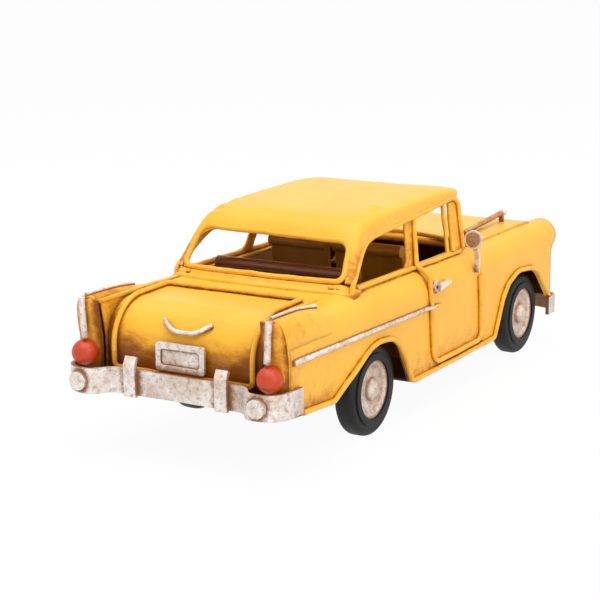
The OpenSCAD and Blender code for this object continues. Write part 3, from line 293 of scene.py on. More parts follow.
# The front panel is dark brown behind its face: painted shade inside the nose
dress("front_panel", grain=0.004, stain_and_shade=lambda x, y, z: 1.6 * ramp(x, 72.05, 71.6))
for side in sides:
    dress(f"side_panel_{side}", grain=0.003, wave=0.00018, stain_and_shade=side_stain_and_shade)
    dress(f"headlamp_hood_{side}", grain=0.004, wave=0.00008)
    dress(f"tail_cap_{side}", grain=0.002, wave=0.00015, stain_and_shade=cap_stain)


# Bead wires: soft iron wire of 1.3 mm, bent by hand, soldered along the sheet edges and enamelled with them.
# Each wire follows its path from the CAD, wanders a little, and swells where solder and paint have run.
rear_x, front_x = -32.6, 57.4
bead_r, bead_out, side_face = 0.65, 0.73, 28.8
shoulder_fall = math.tan(math.radians(0.7))


def bent(points, radii, closed=False, steps=8):
    """Path through points with each corner rounded to its radius."""
    pts = [Vector(p) for p in points]
    out = []
    for i, (p, r) in enumerate(zip(pts, radii)):
        if r == 0 or (not closed and i in (0, len(pts) - 1)):
            out.append(p)
            continue
        u = (pts[i - 1] - p).normalized()
        v = (pts[(i + 1) % len(pts)] - p).normalized()
        half = u.angle(v) / 2
        c = p + (u + v).normalized() * r / math.sin(half)
        s, e = p + u * r / math.tan(half) - c, p + v * r / math.tan(half) - c
        turn = math.pi - 2 * half
        for k in range(steps + 1):
            out.append(c + (s * math.sin(turn * (1 - k / steps)) + e * math.sin(turn * k / steps)) / math.sin(turn))
    return out


def beside(path, w):
    """A path in (x, z) moved to its left by w."""
    out = []
    for i, p in enumerate(path):
        a, b = path[max(i - 1, 0)], path[min(i + 1, len(path) - 1)]
        d = (b - a).normalized()
        out.append(p + Vector((-d[1], d[0], 0)) * w)
    return out


def tree_with(name, inputs, result):
    """A Geometry Nodes tree with named inputs, and the identifiers of their sockets."""
    tree = bpy.data.node_groups.new(name, "GeometryNodeTree")
    tree.is_modifier = True
    sockets = {}
    for label, kind, value in inputs:
        socket = tree.interface.new_socket(label, in_out="INPUT", socket_type=kind)
        if value is not None:
            socket.default_value = value
        sockets[label] = socket.identifier
    tree.interface.new_socket(result, in_out="OUTPUT", socket_type="NodeSocketGeometry")
    return tree, sockets


wire_tree, wire_sockets = tree_with("bead_wire", (
    ("Path", "NodeSocketGeometry", None), ("Wire radius", "NodeSocketFloat", 0.00065),
    ("Point spacing", "NodeSocketFloat", 0.0005), ("Wander", "NodeSocketFloat", 0.00012),
    ("Swelling", "NodeSocketFloat", 0.25), ("Patina", "NodeSocketFloat", 0.2),
    ("Paint", "NodeSocketMaterial", None)), "Wire")
given = add(wire_tree, "NodeGroupInput").outputs
line = add(wire_tree, "GeometryNodeMeshToCurve", {"Mesh": given["Path"]})
fine = add(wire_tree, "GeometryNodeResampleCurve", {"Curve": line.outputs[0], "Length": given["Point spacing"]},
           mode="LENGTH")
spot = add(wire_tree, "GeometryNodeInputPosition")
# Hand-bent waves of about 8 mm, and paint runs of about 3 mm
hand = add(wire_tree, "ShaderNodeTexNoise", {"Vector": spot.outputs[0], "Scale": 125, "Detail": 1})
centred = add(wire_tree, "ShaderNodeVectorMath", {0: hand.outputs["Color"], 1: (0.5, 0.5, 0.5)},
              operation="SUBTRACT")
drift = add(wire_tree, "ShaderNodeVectorMath", {0: centred.outputs[0], "Scale": given["Wander"]}, operation="SCALE")
drift = add(wire_tree, "ShaderNodeVectorMath", {0: drift.outputs[0], "Scale": 4.0}, operation="SCALE")
moved = add(wire_tree, "GeometryNodeSetPosition", {"Geometry": fine.outputs[0], "Offset": drift.outputs[0]})
runs = add(wire_tree, "ShaderNodeTexNoise", {"Vector": spot.outputs[0], "Scale": 330, "Detail": 2})
swell = add(wire_tree, "ShaderNodeMath", {0: runs.outputs["Fac"], 1: given["Swelling"]}, operation="MULTIPLY")
swell = add(wire_tree, "ShaderNodeMath", {0: swell.outputs[0], 1: 0.9}, operation="ADD")
ring = add(wire_tree, "GeometryNodeCurvePrimitiveCircle", {"Resolution": 12, "Radius": given["Wire radius"]})
tube = add(wire_tree, "GeometryNodeCurveToMesh", {"Curve": moved.outputs[0], "Profile Curve": ring.outputs[0],
                                                  "Scale": swell.outputs[0], "Fill Caps": True})
smooth = add(wire_tree, "GeometryNodeSetShadeSmooth", {"Geometry": tube.outputs[0]})
worn_and_shaded = add(wire_tree, "GeometryNodeStoreNamedAttribute",
           {"Geometry": smooth.outputs[0], "Name": "patina_and_shade", "Value": given["Patina"]},
           data_type="FLOAT", domain="POINT")
whole = add(wire_tree, "GeometryNodeRealizeInstances", {"Geometry": worn_and_shaded.outputs[0]})
painted = add(wire_tree, "GeometryNodeSetMaterial", {"Geometry": whole.outputs[0], "Material": given["Paint"]})
add(wire_tree, "NodeGroupOutput", {"Wire": painted.outputs[0]})


def made_plain(piece):
    """The object with what its modifiers make as its own mesh."""
    bpy.context.view_layer.update()
    made = bpy.data.meshes.new_from_object(piece.evaluated_get(bpy.context.evaluated_depsgraph_get()))
    piece.modifiers.clear()
    piece.data = made
    return piece


def grown(name, guide, tree, values):
    """An object whose mesh is what a tree makes of a guide mesh, with the values on the tree's sockets."""
    piece = placed(name, guide)
    mod = piece.modifiers.new("growth", "NODES")
    mod.node_group = tree
    for key, value in values.items():
        mod[key] = value
    return made_plain(piece)


def mesh_of(name, points, edges, faces):
    """A mesh through points in millimetres."""
    mesh = bpy.data.meshes.new(name)
    mesh.from_pydata([Vector(p) * mm for p in points], edges, faces)
    return mesh


def wire_piece(name, paths, node, mat=yellow_enamel, radius=bead_r, closed=False, wander=0.12):
    """One piece from several wire paths, standing for a CAD node where one is named."""
    verts, edges = [], []
    for path in paths:
        first = len(verts)
        verts += path
        edges += [(first + k, first + k + 1) for k in range(len(path) - 1)]
        edges += [(len(verts) - 1, first)] if closed else []
    piece = grown(name, mesh_of(name + "_path", verts, edges, []), wire_tree, {
        wire_sockets["Wire radius"]: radius * mm, wire_sockets["Wander"]: wander * mm, wire_sockets["Paint"]: mat})
    if node:
        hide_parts(node)
    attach(piece, "body")


def belt(x):
    """Height of the rear shoulder."""
    return 36.7 - (x - rear_x) * shoulder_fall


def roof_edge(x):
    """Height of the roof's edge, which rises to the front."""
    return 46.6 + 3.4 * (x - (rear_x - 1)) / 55.0


def sill(x):
    """Point on the wire along the window foot."""
    return Vector((x, 24.4, belt(x) + 0.4 - (x - rear_x) * shoulder_fall / 2))


def flip(path):
    """A path on the car's right, from one on its left."""
    return [Vector((p[0], -p[1], p[2])) for p in path]


hands = (("left", list), ("right", flip))
tail_x, nose_x = rear_x - 42.2, front_x + 16.7
door_rear_x, door_front_x = rear_x + 25.6, rear_x + 57.2
rail_y, sill_z, door_low = 21.93, 9.2, 11.6
# Lower edge of skirt, arches and sill in (x, z): behind the door's front edge and ahead of it
rear_lower = bent([(rear_x - 37.8, 15.3, 0), (rear_x - 23.7, 14.3, 0), (rear_x - 3, 23.8, 0), (rear_x + 8, 22.5, 0),
                   (rear_x + 16, sill_z, 0), (door_front_x, sill_z, 0)], [0, 5, 17, 11, 3, 0])
front_lower = bent([(door_front_x + 0.08, sill_z, 0), (front_x - 23.6, sill_z, 0), (front_x - 16.8, 22.3, 0),
                    (front_x - 8, 25.1, 0), (front_x + 4.5, 23.8, 0), (nose_x - 2.4, 13.6, 0)],
                   [0, 2.5, 12, 12, 10, 0])
edge_path = [Vector((p[0], side_face, p[1])) for p in beside(rear_lower[:-1] + front_lower[1:], bead_r)]
# The rail rises from the shoulder as the rear pillar, follows the roof and comes down as the front pillar
rail_path = bent([(rear_x - 8.4, 24.6, 35.4), (rear_x - 7.6, 24.9, 38.2),
                  (rear_x + 4.0, rail_y, roof_edge(rear_x + 4.0)), (rear_x + 55.4, rail_y, 50.2),
                  (rear_x + 53.0, 25.1, belt(rear_x + 53.0) + bead_out)], [0, 3, 15, 2.5, 0])
screen_leg = [(rear_x + 50.4, rail_y, 48.9), (rear_x + 47.4, 24.7, belt(rear_x + 47.4) + bead_out)]
sill_rear = [sill(rear_x - 5.2), sill(door_rear_x - 1.0)]
sill_front = [sill(door_rear_x + 1.0), sill(rear_x + 52.0)]
for side, turn in hands:
    wire_piece(f"edge_wire_{side}", [turn(edge_path)], f"edge_bead_{side}")
    wire_piece(f"roof_rail_wire_{side}", [turn(path) for path in (rail_path, screen_leg, sill_rear, sill_front)],
               f"roof_rail_{side}")
vent_post = [(rear_x + 46.6, rail_y, 49.2), (rear_x + 45.0, 24.4, belt(rear_x + 45.0) + 0.3)]
wire_piece("vent_post_wires", [vent_post, flip(vent_post)], "vent_posts", radius=0.55)
# The rear window's wire bows to the rear along its foot and stands a little higher on the left
window_half, window_bow = 22.6, 1.2
foot = [(rear_x - 8.2 - window_bow * (1 - (y / window_half) ** 2), y, 38.9)
        for y in (window_half, 16, 8, 0, -8, -16, -window_half)]
window_path = bent([(rear_x - 1.5, 20.9, 48.0)] + foot + [(rear_x - 1.5, -20.9, 47.5)],
                   [3.4, 2.2, 0, 0, 0, 0, 0, 2.2, 3.4], closed=True)
wire_piece("rear_window_wire", [window_path], "rear_window_frame", closed=True, radius=0.7)
for name in ("lid_bead", "windscreen_frame"):
    dress(name, wave=0.0001, sharp=65.0, stain_and_shade=lambda x, y, z: 0.2 + 0.4 * ramp(z, 30, 20))
# The door wire comes down from the roof rail as the centre pillar and runs round the door
door_path = bent([(door_rear_x + 4.3, rail_y, roof_edge(door_rear_x + 4.3) - 0.6),
                  (door_rear_x, 25.0, belt(door_rear_x) + 0.45), (door_rear_x, side_face, belt(door_rear_x) - 1.2),
                  (door_rear_x + 2.6, side_face, door_low), (door_front_x, side_face, door_low),
                  (door_front_x - 1.3, side_face, 29.3)], [0, 1.3, 3.2, 3.9, 2.6, 0])
for side, turn in hands:
    wire_piece(f"door_wire_{side}", [turn(door_path)], f"door_bead_{side}")


# Front fenders: one tin sheet each, rolled over at the top and drawn out into a brim round the headlamp.
# The lower edge is cut to the wheel arch, and the sheet is soldered to the hood panel.
def arch_height(x):
    """Height of the fender's lower edge."""
    for a, b in zip(front_lower, front_lower[1:]):
        if a[0] <= x <= b[0]:
            return a[1] + (b[1] - a[1]) * (x - a[0]) / max(b[0] - a[0], 1e-6)
    return front_lower[-1][1]


def sheet_piece(name, rows, wall, outward, nodes_replaced, stain_and_shade):
    """A sheet of given wall through rows of points, facing the given way."""
    count = len(rows[0])
    quads = [(i * count + k, i * count + k + 1, (i + 1) * count + k + 1, (i + 1) * count + k)
             for i in range(len(rows) - 1) for k in range(count - 1)]
    mesh = mesh_of(name, [p for row in rows for p in row], [], quads)
    if mesh.polygons[len(quads) // 2].normal.dot(Vector(outward)) < 0:
        mesh.flip_normals()
    mesh.shade_smooth()
    # Patina per point, which on some pieces also holds painted shade
    share = mesh.attributes.new("patina_and_shade", "FLOAT", "POINT")
    for v in mesh.vertices:
        share.data[v.index].value = max(0.0, stain_and_shade(*(v.co * 1000)))
    mesh.materials.append(yellow_enamel)
    piece = placed(name, mesh)
    thick = piece.modifiers.new("wall", "SOLIDIFY")
    thick.thickness, thick.offset = wall * mm, -1.0
    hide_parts(*nodes_replaced)
    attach(piece, "body")


def ease(share):
    """A share from zero to one with a soft start and end."""
    return share * share * (3 - 2 * share)


turns = (("left", 1), ("right", -1))
lamp_y, lamp_z, brim_r, brim_reach = 23.6, 30.86, 4.86, 3.4
fender_start, fender_top, fender_y = door_front_x + 0.08, 36.0, 28.4
roll_y, roll_r, fender_rise = 22, 6.4, math.tan(math.radians(0.3))
along, rolled, across, brim_turn = 36, 10, 24, 118
for side, turn in turns:
    rows = []
    for i in range(along + 1):
        row = []
        for k in range(across + 1):
            # The sheet's end is the brim at the top and the upright edge below it
            down = max(0.0, (k - rolled) / (across - rolled))
            end = nose_x + brim_reach * max(0.0, 1 - down * 3.2) ** 2
            x = fender_start + (end - fender_start) * i / along
            top = fender_top + (x - door_front_x) * fender_rise
            low = arch_height(x)
            if k <= rolled:
                a = math.radians(90 - 90 * k / rolled)
                b = math.radians(brim_turn - brim_turn * k / rolled)
                plain = Vector((roll_y + roll_r * math.cos(a), top - roll_r + roll_r * math.sin(a)))
                brim = Vector((lamp_y + brim_r * math.cos(b), lamp_z + brim_r * math.sin(b)))
            else:
                plain = Vector((fender_y, top - roll_r + (low - top + roll_r) * down))
                brim = Vector((fender_y + 0.02, lamp_z + (low - lamp_z) * down))
            y, z = plain.lerp(brim, ease(ramp(x, 56, nose_x + 1)))
            row.append((x, turn * y, z))
        rows.append(row)
    sheet_piece(f"front_fender_sheet_{side}", rows, 0.6, (0, turn, 0), [f"front_fender_{side}"],
                stain_and_shade=lambda x, y, z: 0.3 * ramp(z, 20, 11) + 0.2 * ramp(x, 28, 25))


# Inner walls of the rear fenders: upright tin sheets between the shoulder and the deck.
# They are soldered along their edges and stained by the wash that ran down them.
wall_y, wall_low, wall_front, wall_steps = 21.75, 19.5, rear_x - 20.0, 12
tail_rake, rake_start = 0.172, 28.0
for side, turn in turns:
    rows = []
    for i in range(wall_steps + 1):
        row = []
        for k in range(wall_steps + 1):
            z = wall_low + (belt(tail_x) - 0.1 - wall_low) * k / wall_steps
            rear = tail_x + 0.7 - max(0.0, z - rake_start) * tail_rake
            row.append((rear + (wall_front - rear) * i / wall_steps,
                        turn * (wall_y + 0.25 * (k / wall_steps) ** 4), min(z, belt(rear) - 0.1)))
        rows.append(row)
    sheet_piece(f"fender_inner_wall_{side}", rows, 0.4, (0, -turn, 0), [],
                stain_and_shade=lambda x, y, z: 0.35 + 0.45 * ramp(z, 35, 24))


# Roof: one tin sheet beaten to a crown, rolled down at the back and drawn out into both rear pillars.
# Its edges are soldered to the roof rails, the windscreen frame and the rear window frame.
# Each row below runs from the rail up and over to the centre plane, with x from the rear axle.
roof_rows = [
    [(55.2, 22, 49.8), (55.7, 22.2, 51.9), (55.7, 19.6, 52.4), (55.7, 9, 52.3), (55.7, 0, 52.2)],
    [(50, 22, 49.6), (50, 22.6, 52.7), (50, 19.6, 53.2), (50, 9, 53.2), (50, 0, 53.2)],
    [(36, 22.1, 48.7), (36, 22.6, 52.6), (36, 19, 53.2), (36, 9, 53.3), (36, 0, 53.3)],
    [(21, 22.2, 47.8), (20, 22.5, 52.4), (20, 18.9, 53.1), (20, 9, 53.3), (20, 0, 53.3)],
    [(12, 22.2, 47.2), (9.5, 22.5, 51.8), (9, 19.2, 52.9), (9, 9.5, 53.2), (9, 0, 53.2)],
    [(4.2, 22.3, 45.9), (2.2, 22.9, 50.3), (1.4, 19.6, 51.8), (1.2, 9.8, 52), (1.2, 0, 52)],
    [(-0.1, 23.1, 43.3), (-1.6, 23.5, 47.3), (-1.7, 20.4, 47.9), (-1.7, 10.2, 47.9), (-1.7, 0, 47.9)]]
pillar_rows = [
    [(-4.8, 24.2, 40.2), (-4.5, 24.7, 42.6), (-5, 22, 43.2)],
    [(-8, 25.1, 37.2), (-7.4, 25.3, 38.8), (-8.2, 23, 38.8)]]
verts, faces, spots = [], [], {}
for turn in (1, -1):
    for i, row in enumerate(roof_rows + pillar_rows):
        for k, (x, y, z) in enumerate(row):
            if y or turn > 0:
                spots[turn, i, k] = len(verts)
                verts.append((rear_x + x, turn * y, z))
            else:
                spots[turn, i, k] = spots[1, i, k]
    for i in range(len(roof_rows) + len(pillar_rows) - 1):
        for k in range(4 if i < len(roof_rows) - 1 else 2):
            ring = ((i, k), (i, k + 1), (i + 1, k + 1), (i + 1, k))
            faces.append([spots[turn, a, b] for a, b in ring][::turn])
roof = placed("roof_skin", mesh_of("roof_cage", verts, [], faces))
fine = roof.modifiers.new("smooth", "SUBSURF")
fine.levels = fine.render_levels = 4
fine.boundary_smooth = "PRESERVE_CORNERS"
skin = made_plain(roof).data
if max(skin.polygons, key=lambda f: f.center.z).normal.z < 0:
    skin.flip_normals()
# Beaten waves of about 11 mm, and creases pulled at the left and right rear corners.
# A crease has its place, its push, its length along the car and its width across it.
creases = [((15.0, 19.4, 52.9), -0.6, 0.9, 2.0), ((12.6, 19.6, 52.9), 0.2, 0.9, 1.6),
           ((9.0, 19.7, 52.6), -0.55, 0.9, 1.8), ((6.4, 19.8, 52.2), 0.2, 0.9, 1.6),
           ((4.0, 19.8, 51.6), -0.5, 0.8, 1.6), ((16.0, -18.8, 53.0), -0.7, 0.9, 2.2),
           ((13.4, -19.4, 52.8), 0.35, 0.9, 1.8), ((6.0, -20.2, 51.8), -0.45, 0.8, 1.2),
           ((4.0, -20.6, 51.2), 0.3, 0.8, 1.2)]
crease_height, beaten_wave, beaten_scale = 2, 0.2, 90.0
share = skin.attributes.new("patina_and_shade", "FLOAT", "POINT")
ways = [v.normal.copy() for v in skin.vertices]
for v, way in zip(skin.vertices, ways):
    c = v.co / mm
    v.co += way * beaten_wave * mm * noise.noise(v.co * beaten_scale)
    for (x, y, z), push, length, width in creases:
        d = c - Vector((rear_x + x, y, z))
        v.co += way * push * mm * math.exp(-(d.x / length) ** 2 - (d.y / width) ** 2 - (d.z / crease_height) ** 2)
    v.co.z = min(v.co.z, cad_box[1][2])
    # Wash on the pillars and along the rails, and painted shade under the rear edge, above the window's wire
    share.data[v.index].value = (0.3 * ramp(c.z, 46.5, 43.5) + 0.2 * ramp(abs(c.y), 21.6, 22.4)
                                 + 0.22 * ramp(c.z, 48.8, 48) * ramp(abs(c.y), 20, 17))
skin.shade_smooth()
skin.materials.append(yellow_enamel)
wall = roof.modifiers.new("wall", "SOLIDIFY")
wall.thickness, wall.offset = 0.6 * mm, -1.0
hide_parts("roof_panel")
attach(roof, "body")


# Ledge under the rear window: a strip of tin folded into a band and a ridge, and bowed across the car.
# It is soldered to the window's wire above and to the shoulders at its ends, where it turns forward and down.
ledge_fold = [(-0.5, 38.3), (0.3, 38.5), (0.9, 38.25), (1.25, 37.7), (1.5, 37.35), (1.9, 37.5), (2.4, 37.5),
              (2.85, 37.15), (3.05, 36.6), (3.05, 36.1)]
ledge_half, ledge_turn, ledge_steps, ledge_waver = 26.0, 21.5, 60, 0.18
rows = []
for i in range(ledge_steps + 1):
    y = -ledge_half + 2 * ledge_half * i / ledge_steps
    end = max(0.0, abs(y) - ledge_turn) / (ledge_half - ledge_turn)
    row = []
    for d, z in ledge_fold:
        x = rear_x - 9.3 - d + window_bow * (y / window_half) ** 2 + (2.6 - 0.35 * d) * end ** 2
        drift = ledge_waver * noise.noise(Vector((y * 0.25, d, 3.0)))
        row.append((x + drift, y, z - 1.7 * end ** 2 + 0.5 * drift))
    rows.append(row)
sheet_piece("window_ledge", rows, 0.5, (0, 0, 1), ["rear_ledge"],
            stain_and_shade=lambda x, y, z: 0.3 * ramp(z, 37, 36.4) + 0.25 * ramp(abs(y), 22, 25) + 0.14)


# Pillars and sills: narrow tin strips behind the wires at the windscreen, the door's rear edge and the window foot.
# The centre strip spreads at its foot, where it is soldered to the sill.
screen_steps, centre_steps, sill_steps, strip_cuts = 10, 20, 40, 4
for side, turn in turns:
    screen = []
    for k in range(screen_steps + 1):
        down = k / screen_steps
        screen.append([(rear_x + 50.4 - 3.0 * down + (4.6 + 0.6 * down) * u / strip_cuts, turn * (21.9 + 2.9 * down),
                        49.4 - 12.6 * down) for u in range(strip_cuts + 1)])
    sheet_piece(f"screen_pillar_{side}", screen, 0.5, (0, turn, 0), [], stain_and_shade=lambda x, y, z: 0.3)
    centre = []
    for k in range(centre_steps + 1):
        down = k / centre_steps
        spread = 2.6 * max(0.0, (down - 0.75) / 0.25) ** 2
        back, front = 25.2 - 3.2 * down - spread, 29.6 - 4.0 * down + 0.3 * spread
        centre.append([(rear_x + back + (front - back) * u / strip_cuts, turn * (21.8 + 2.5 * down),
                        48.0 - 11.4 * down) for u in range(strip_cuts + 1)])
    sheet_piece(f"centre_pillar_{side}", centre, 0.5, (0, turn, 0), [], stain_and_shade=lambda x, y, z: 0.42)
    strip = [[(x, turn * (24.4 + 0.1 * u), sill(x)[2] - 1.0 * u) for u in range(3)]
             for x in (rear_x - 5.2 + 57.2 * k / sill_steps for k in range(sill_steps + 1))]
    sheet_piece(f"sill_strip_{side}", strip, 0.4, (0, turn, 0), [], stain_and_shade=lambda x, y, z: 0.4)


# Fins: a low ridge of tin raised along each rear shoulder and fading out ahead.
# It is soldered over the shoulder and slants down to the tail lamp at its rear end.
fin_rear, fin_front, fin_full = rear_x - 44.6, rear_x - 15.0, rear_x - 36.0
fin_y, crest_u, crest_rise, fin_steps, fin_points = 24.8, 0.3, 0.85, 30, 24
# The outer roll of the ridge and of the tail pods below it is squarer than a circle
roll_power = 0.75


def fin_section(u, x):
    """Point (y, z) of the raised shoulder, from its inner foot at u = 0 to the side sheet at u = 1."""
    a = math.radians(9 + 79 * u)
    plain = Vector((roll_y + 6.3 * math.sin(a), belt(x) - 6.48 + 6.3 * math.cos(a)))
    if u < crest_u:
        raised = Vector((23 + 6 * u, belt(x) + crest_rise - 0.95 * (1 - u / crest_u) ** 2))
    else:
        b = math.radians(90 * (u - crest_u) / (1 - crest_u))
        raised = Vector((fin_y + 3.63 * math.sin(b) ** roll_power, belt(x) - 6.15 + 7 * math.cos(b) ** roll_power))
    return plain.lerp(raised, ease(ramp(x, fin_front, fin_full)))


def fin_stain(x, y, z):
    """Wash on the inner foot, and a film of it towards the tail."""
    return 0.25 * ramp(abs(y), 24.6, 24) + 0.12 + 0.18 * ramp(x, rear_x - 24, rear_x - 38)


for side, turn in turns:
    rows = []
    for i in range(fin_steps + 1):
        x = fin_rear + (fin_front - fin_rear) * i / fin_steps
        section = [fin_section(k / fin_points, x) for k in range(fin_points + 1)]
        # The rear end slants with the tail
        rows.append([(x + tail_rake * max(0.0, belt(x) + 0.8 - z) * (1 - i / fin_steps), turn * y, z)
                     for y, z in section])
    rows.insert(0, [(x, turn * 24.9 + (y - turn * 24.9) * 0.3, z - 1.0) for x, y, z in rows[0]])
    sheet_piece(f"fin_ridge_{side}", rows, 0.4, (0, turn, 1), [f"fin_strip_{side}"], stain_and_shade=fin_stain)


# Solder: drops of tin left where wires and strips meet, painted over with the body.
# They sit at the feet of the pillars, along the ledge, and where the door wire leaves the sill.
drop_tree, drop_sockets = tree_with("solder_drops", (
    ("Joints", "NodeSocketGeometry", None), ("Drop radius", "NodeSocketFloat", 0.00045),
    ("Size spread", "NodeSocketFloat", 0.45), ("Paint", "NodeSocketMaterial", None)), "Drops")
given = add(drop_tree, "NodeGroupInput").outputs
drop = add(drop_tree, "GeometryNodeMeshIcoSphere", {"Radius": given["Drop radius"], "Subdivisions": 3})
least = add(drop_tree, "ShaderNodeMath", {0: 1.0, 1: given["Size spread"]}, operation="SUBTRACT")
most = add(drop_tree, "ShaderNodeMath", {0: 1.0, 1: given["Size spread"]}, operation="ADD")
spread = add(drop_tree, "FunctionNodeRandomValue", {"Min": least.outputs[0], "Max": most.outputs[0], "Seed": 7},
             data_type="FLOAT")
turned = add(drop_tree, "FunctionNodeRandomValue", {"Min": (0.0, 0.0, 0.0), "Max": (3.0, 3.0, 3.0), "Seed": 3},
             data_type="FLOAT_VECTOR")
set_down = add(drop_tree, "GeometryNodeInstanceOnPoints",
               {"Points": given["Joints"], "Instance": drop.outputs[0], "Rotation": turned.outputs[0],
                "Scale": spread.outputs[1]})
whole = add(drop_tree, "GeometryNodeRealizeInstances", {"Geometry": set_down.outputs[0]})
smooth = add(drop_tree, "GeometryNodeSetShadeSmooth", {"Geometry": whole.outputs[0]})
painted = add(drop_tree, "GeometryNodeSetMaterial", {"Geometry": smooth.outputs[0], "Material": given["Paint"]})
add(drop_tree, "NodeGroupOutput", {"Drops": painted.outputs[0]})
run_drops, foot_drops = 7, 4
joints = []
for turn in (1, -1):
    for k in range(run_drops):
        # A run of drops up each rear pillar's groove, and a few on the ledge's end
        rise = k / (run_drops - 1)
        joints.append((rear_x - 7.6 + 4.6 * rise + 0.3 * math.sin(5 * k), turn * (23.3 - 0.9 * rise),
                       38.9 + 4.6 * rise))
        joints.append((rear_x - 9.6 + 0.3 * k + 0.5 * math.sin(4 * k), turn * (20.0 + 0.6 * k), 37.9 - 0.1 * k))
    joints += [(rear_x - 6.6 + 1.1 * k, turn * 24.75, belt(rear_x) + 0.1) for k in range(foot_drops)]
    joints += [(door_rear_x - 0.9, turn * 24.8, belt(door_rear_x) + 0.2),
               (door_rear_x + 1.0, turn * 24.9, belt(door_rear_x) + 0.1),
               (rear_x + 46.9, turn * 24.8, belt(rear_x + 47.0) + 0.2),
               (rear_x + 53.2, turn * 25.0, belt(rear_x + 53.0) + 0.2)]
solder = grown("solder_drops", mesh_of("solder_joints", joints, [], []), drop_tree,
               {drop_sockets["Paint"]: yellow_enamel})
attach(solder, "body")


# Sheet behind the grille bars: a plain tin plate that closes the nose.
# It is soldered to the grille's frame, and it is coloured dark: painted shade inside the nose.
def box_mm(name):
    """Lowest and highest corner of a CAD node."""
    return (v * 1000 for v in map(Vector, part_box(name)))


low, high = box_mm("grille")
plate_cuts, plate_rows = 8, 4
rows = [[(low[0] - 0.3, low[1] + (high[1] - low[1]) * i / plate_cuts, low[2] + (high[2] - low[2]) * k / plate_rows)
         for k in range(plate_rows + 1)] for i in range(plate_cuts + 1)]
sheet_piece("grille_back", rows, 0.3, (1, 0, 0), [], stain_and_shade=lambda x, y, z: 1.7)


# Tail pods: the rounded ends of the rear fenders, tin beaten out over a stake.
# They are soldered to the tail caps, and the wash stays round their edges.
pod_low, pod_height, pod_rows, pod_half = 20.6, 16.9, 18, 6


def pod_stain(x, y, z):
    """Wash at the inner and outer edge and at the foot."""
    return 0.42 + 0.6 * ramp(abs(y), 23.6, 22) + 0.45 * ramp(abs(y), 27.3, 28.3) + 0.5 * ramp(z, 25, 21)


for side, turn in turns:
    rows = []
    for i in range(pod_rows + 1):
        z = pod_low + pod_height * i / pod_rows
        part = ramp(z, belt(fin_rear) - 6.15, belt(fin_rear) + crest_rise) ** (1 / roll_power)
        inner = 21.95 + 1.6 * ramp(z, 36, 37.5)
        outer = fin_y + 3.5 * math.sqrt(1 - part * part) ** roll_power
        row = []
        for k in range(2 * pod_half + 1):
            u = k / pod_half - 1
            swell = 1.25 * (1 - abs(u) ** 2.6) * ramp(z, 38, 34) ** 0.5
            row.append((tail_x - 0.75 - max(0.0, z - rake_start) * tail_rake - swell,
                        turn * (inner + (outer - inner) * (u + 1) / 2), z))
        rows.append(row)
    sheet_piece(f"tail_pod_{side}", rows, 0.3, (-1, 0, 0), [], stain_and_shade=pod_stain)


# Bright trim: bumpers, handles, lamps, mirrors and wheel discs of pressed tin, and strips along fins and sides.
# They are brushed with silver paint over a brown undercoat, and soldered or pressed to the body.
def silver(name, light, deep, rust, under):
    """Silver paint: a pale mottled shine, with brown pits where the undercoat shows and brown corners of undercoat
    and painted shade.
    """
    mat, tree, shade, place = new_coat(name)
    # Thin and thick paint over about 6 mm
    cloud = add(tree, "ShaderNodeTexNoise", {"Vector": place, "Scale": 160, "Detail": 6, "Roughness": 0.7})
    thin = add(tree, "ShaderNodeMapRange", {"Value": cloud.outputs["Fac"], "From Min": 0.4, "From Max": 0.64})
    base = add(tree, "ShaderNodeMixRGB", {"Fac": thin.outputs[0], "Color1": tint(light), "Color2": tint(deep)})
    # Undercoat in pits of about 1.2 mm, and undercoat with painted shade within 2 mm of a corner
    corner = add(tree, "ShaderNodeAmbientOcclusion", {"Distance": 0.002}, samples=8)
    blot = add(tree, "ShaderNodeTexNoise", {"Vector": place, "Scale": 800, "Detail": 8, "Roughness": 0.8})
    share = add(tree, "ShaderNodeMath", {0: corner.outputs["AO"], 1: blot.outputs["Fac"]}, operation="ADD")
    bare_and_shaded = add(tree, "ShaderNodeMapRange", {"Value": share.outputs[0], "From Min": 1.5, "From Max": 1.3,
                                            "To Max": 0.92})
    aged_and_shaded = add(tree, "ShaderNodeMixRGB", {"Fac": bare_and_shaded.outputs[0], "Color1": base.outputs[0], "Color2": tint(rust)})
    # Paint rubbed through, where the piece carries it
    worn_and_shaded = add(tree, "ShaderNodeAttribute", attribute_name="patina_and_shade")
    wide = add(tree, "ShaderNodeMath", {0: worn_and_shaded.outputs["Fac"], 1: blot.outputs["Fac"]}, operation="ADD")
    through = add(tree, "ShaderNodeMapRange", {"Value": wide.outputs[0], "From Min": 0.75, "From Max": 1.2,
                                               "To Max": 0.92})
    rubbed = add(tree, "ShaderNodeMixRGB", {"Fac": through.outputs[0], "Color1": aged_and_shaded.outputs[0],
                                            "Color2": tint(under)})
    tree.links.new(rubbed.outputs[0], shade.inputs["Base Color"])
    shade.inputs["Metallic"].default_value = 0.7
    rough = add(tree, "ShaderNodeMapRange", {"Value": bare_and_shaded.outputs[0], "To Min": 0.32, "To Max": 0.7})
    tree.links.new(rough.outputs[0], shade.inputs["Roughness"])
    soft = add(tree, "ShaderNodeBevel", {"Radius": 0.0003}, samples=4)
    pits = add(tree, "ShaderNodeBump", {"Height": blot.outputs["Fac"], "Strength": 1.0, "Distance": 0.0004,
                                        "Normal": soft.outputs[0]})
    tree.links.new(pits.outputs[0], shade.inputs["Normal"])
    return mat


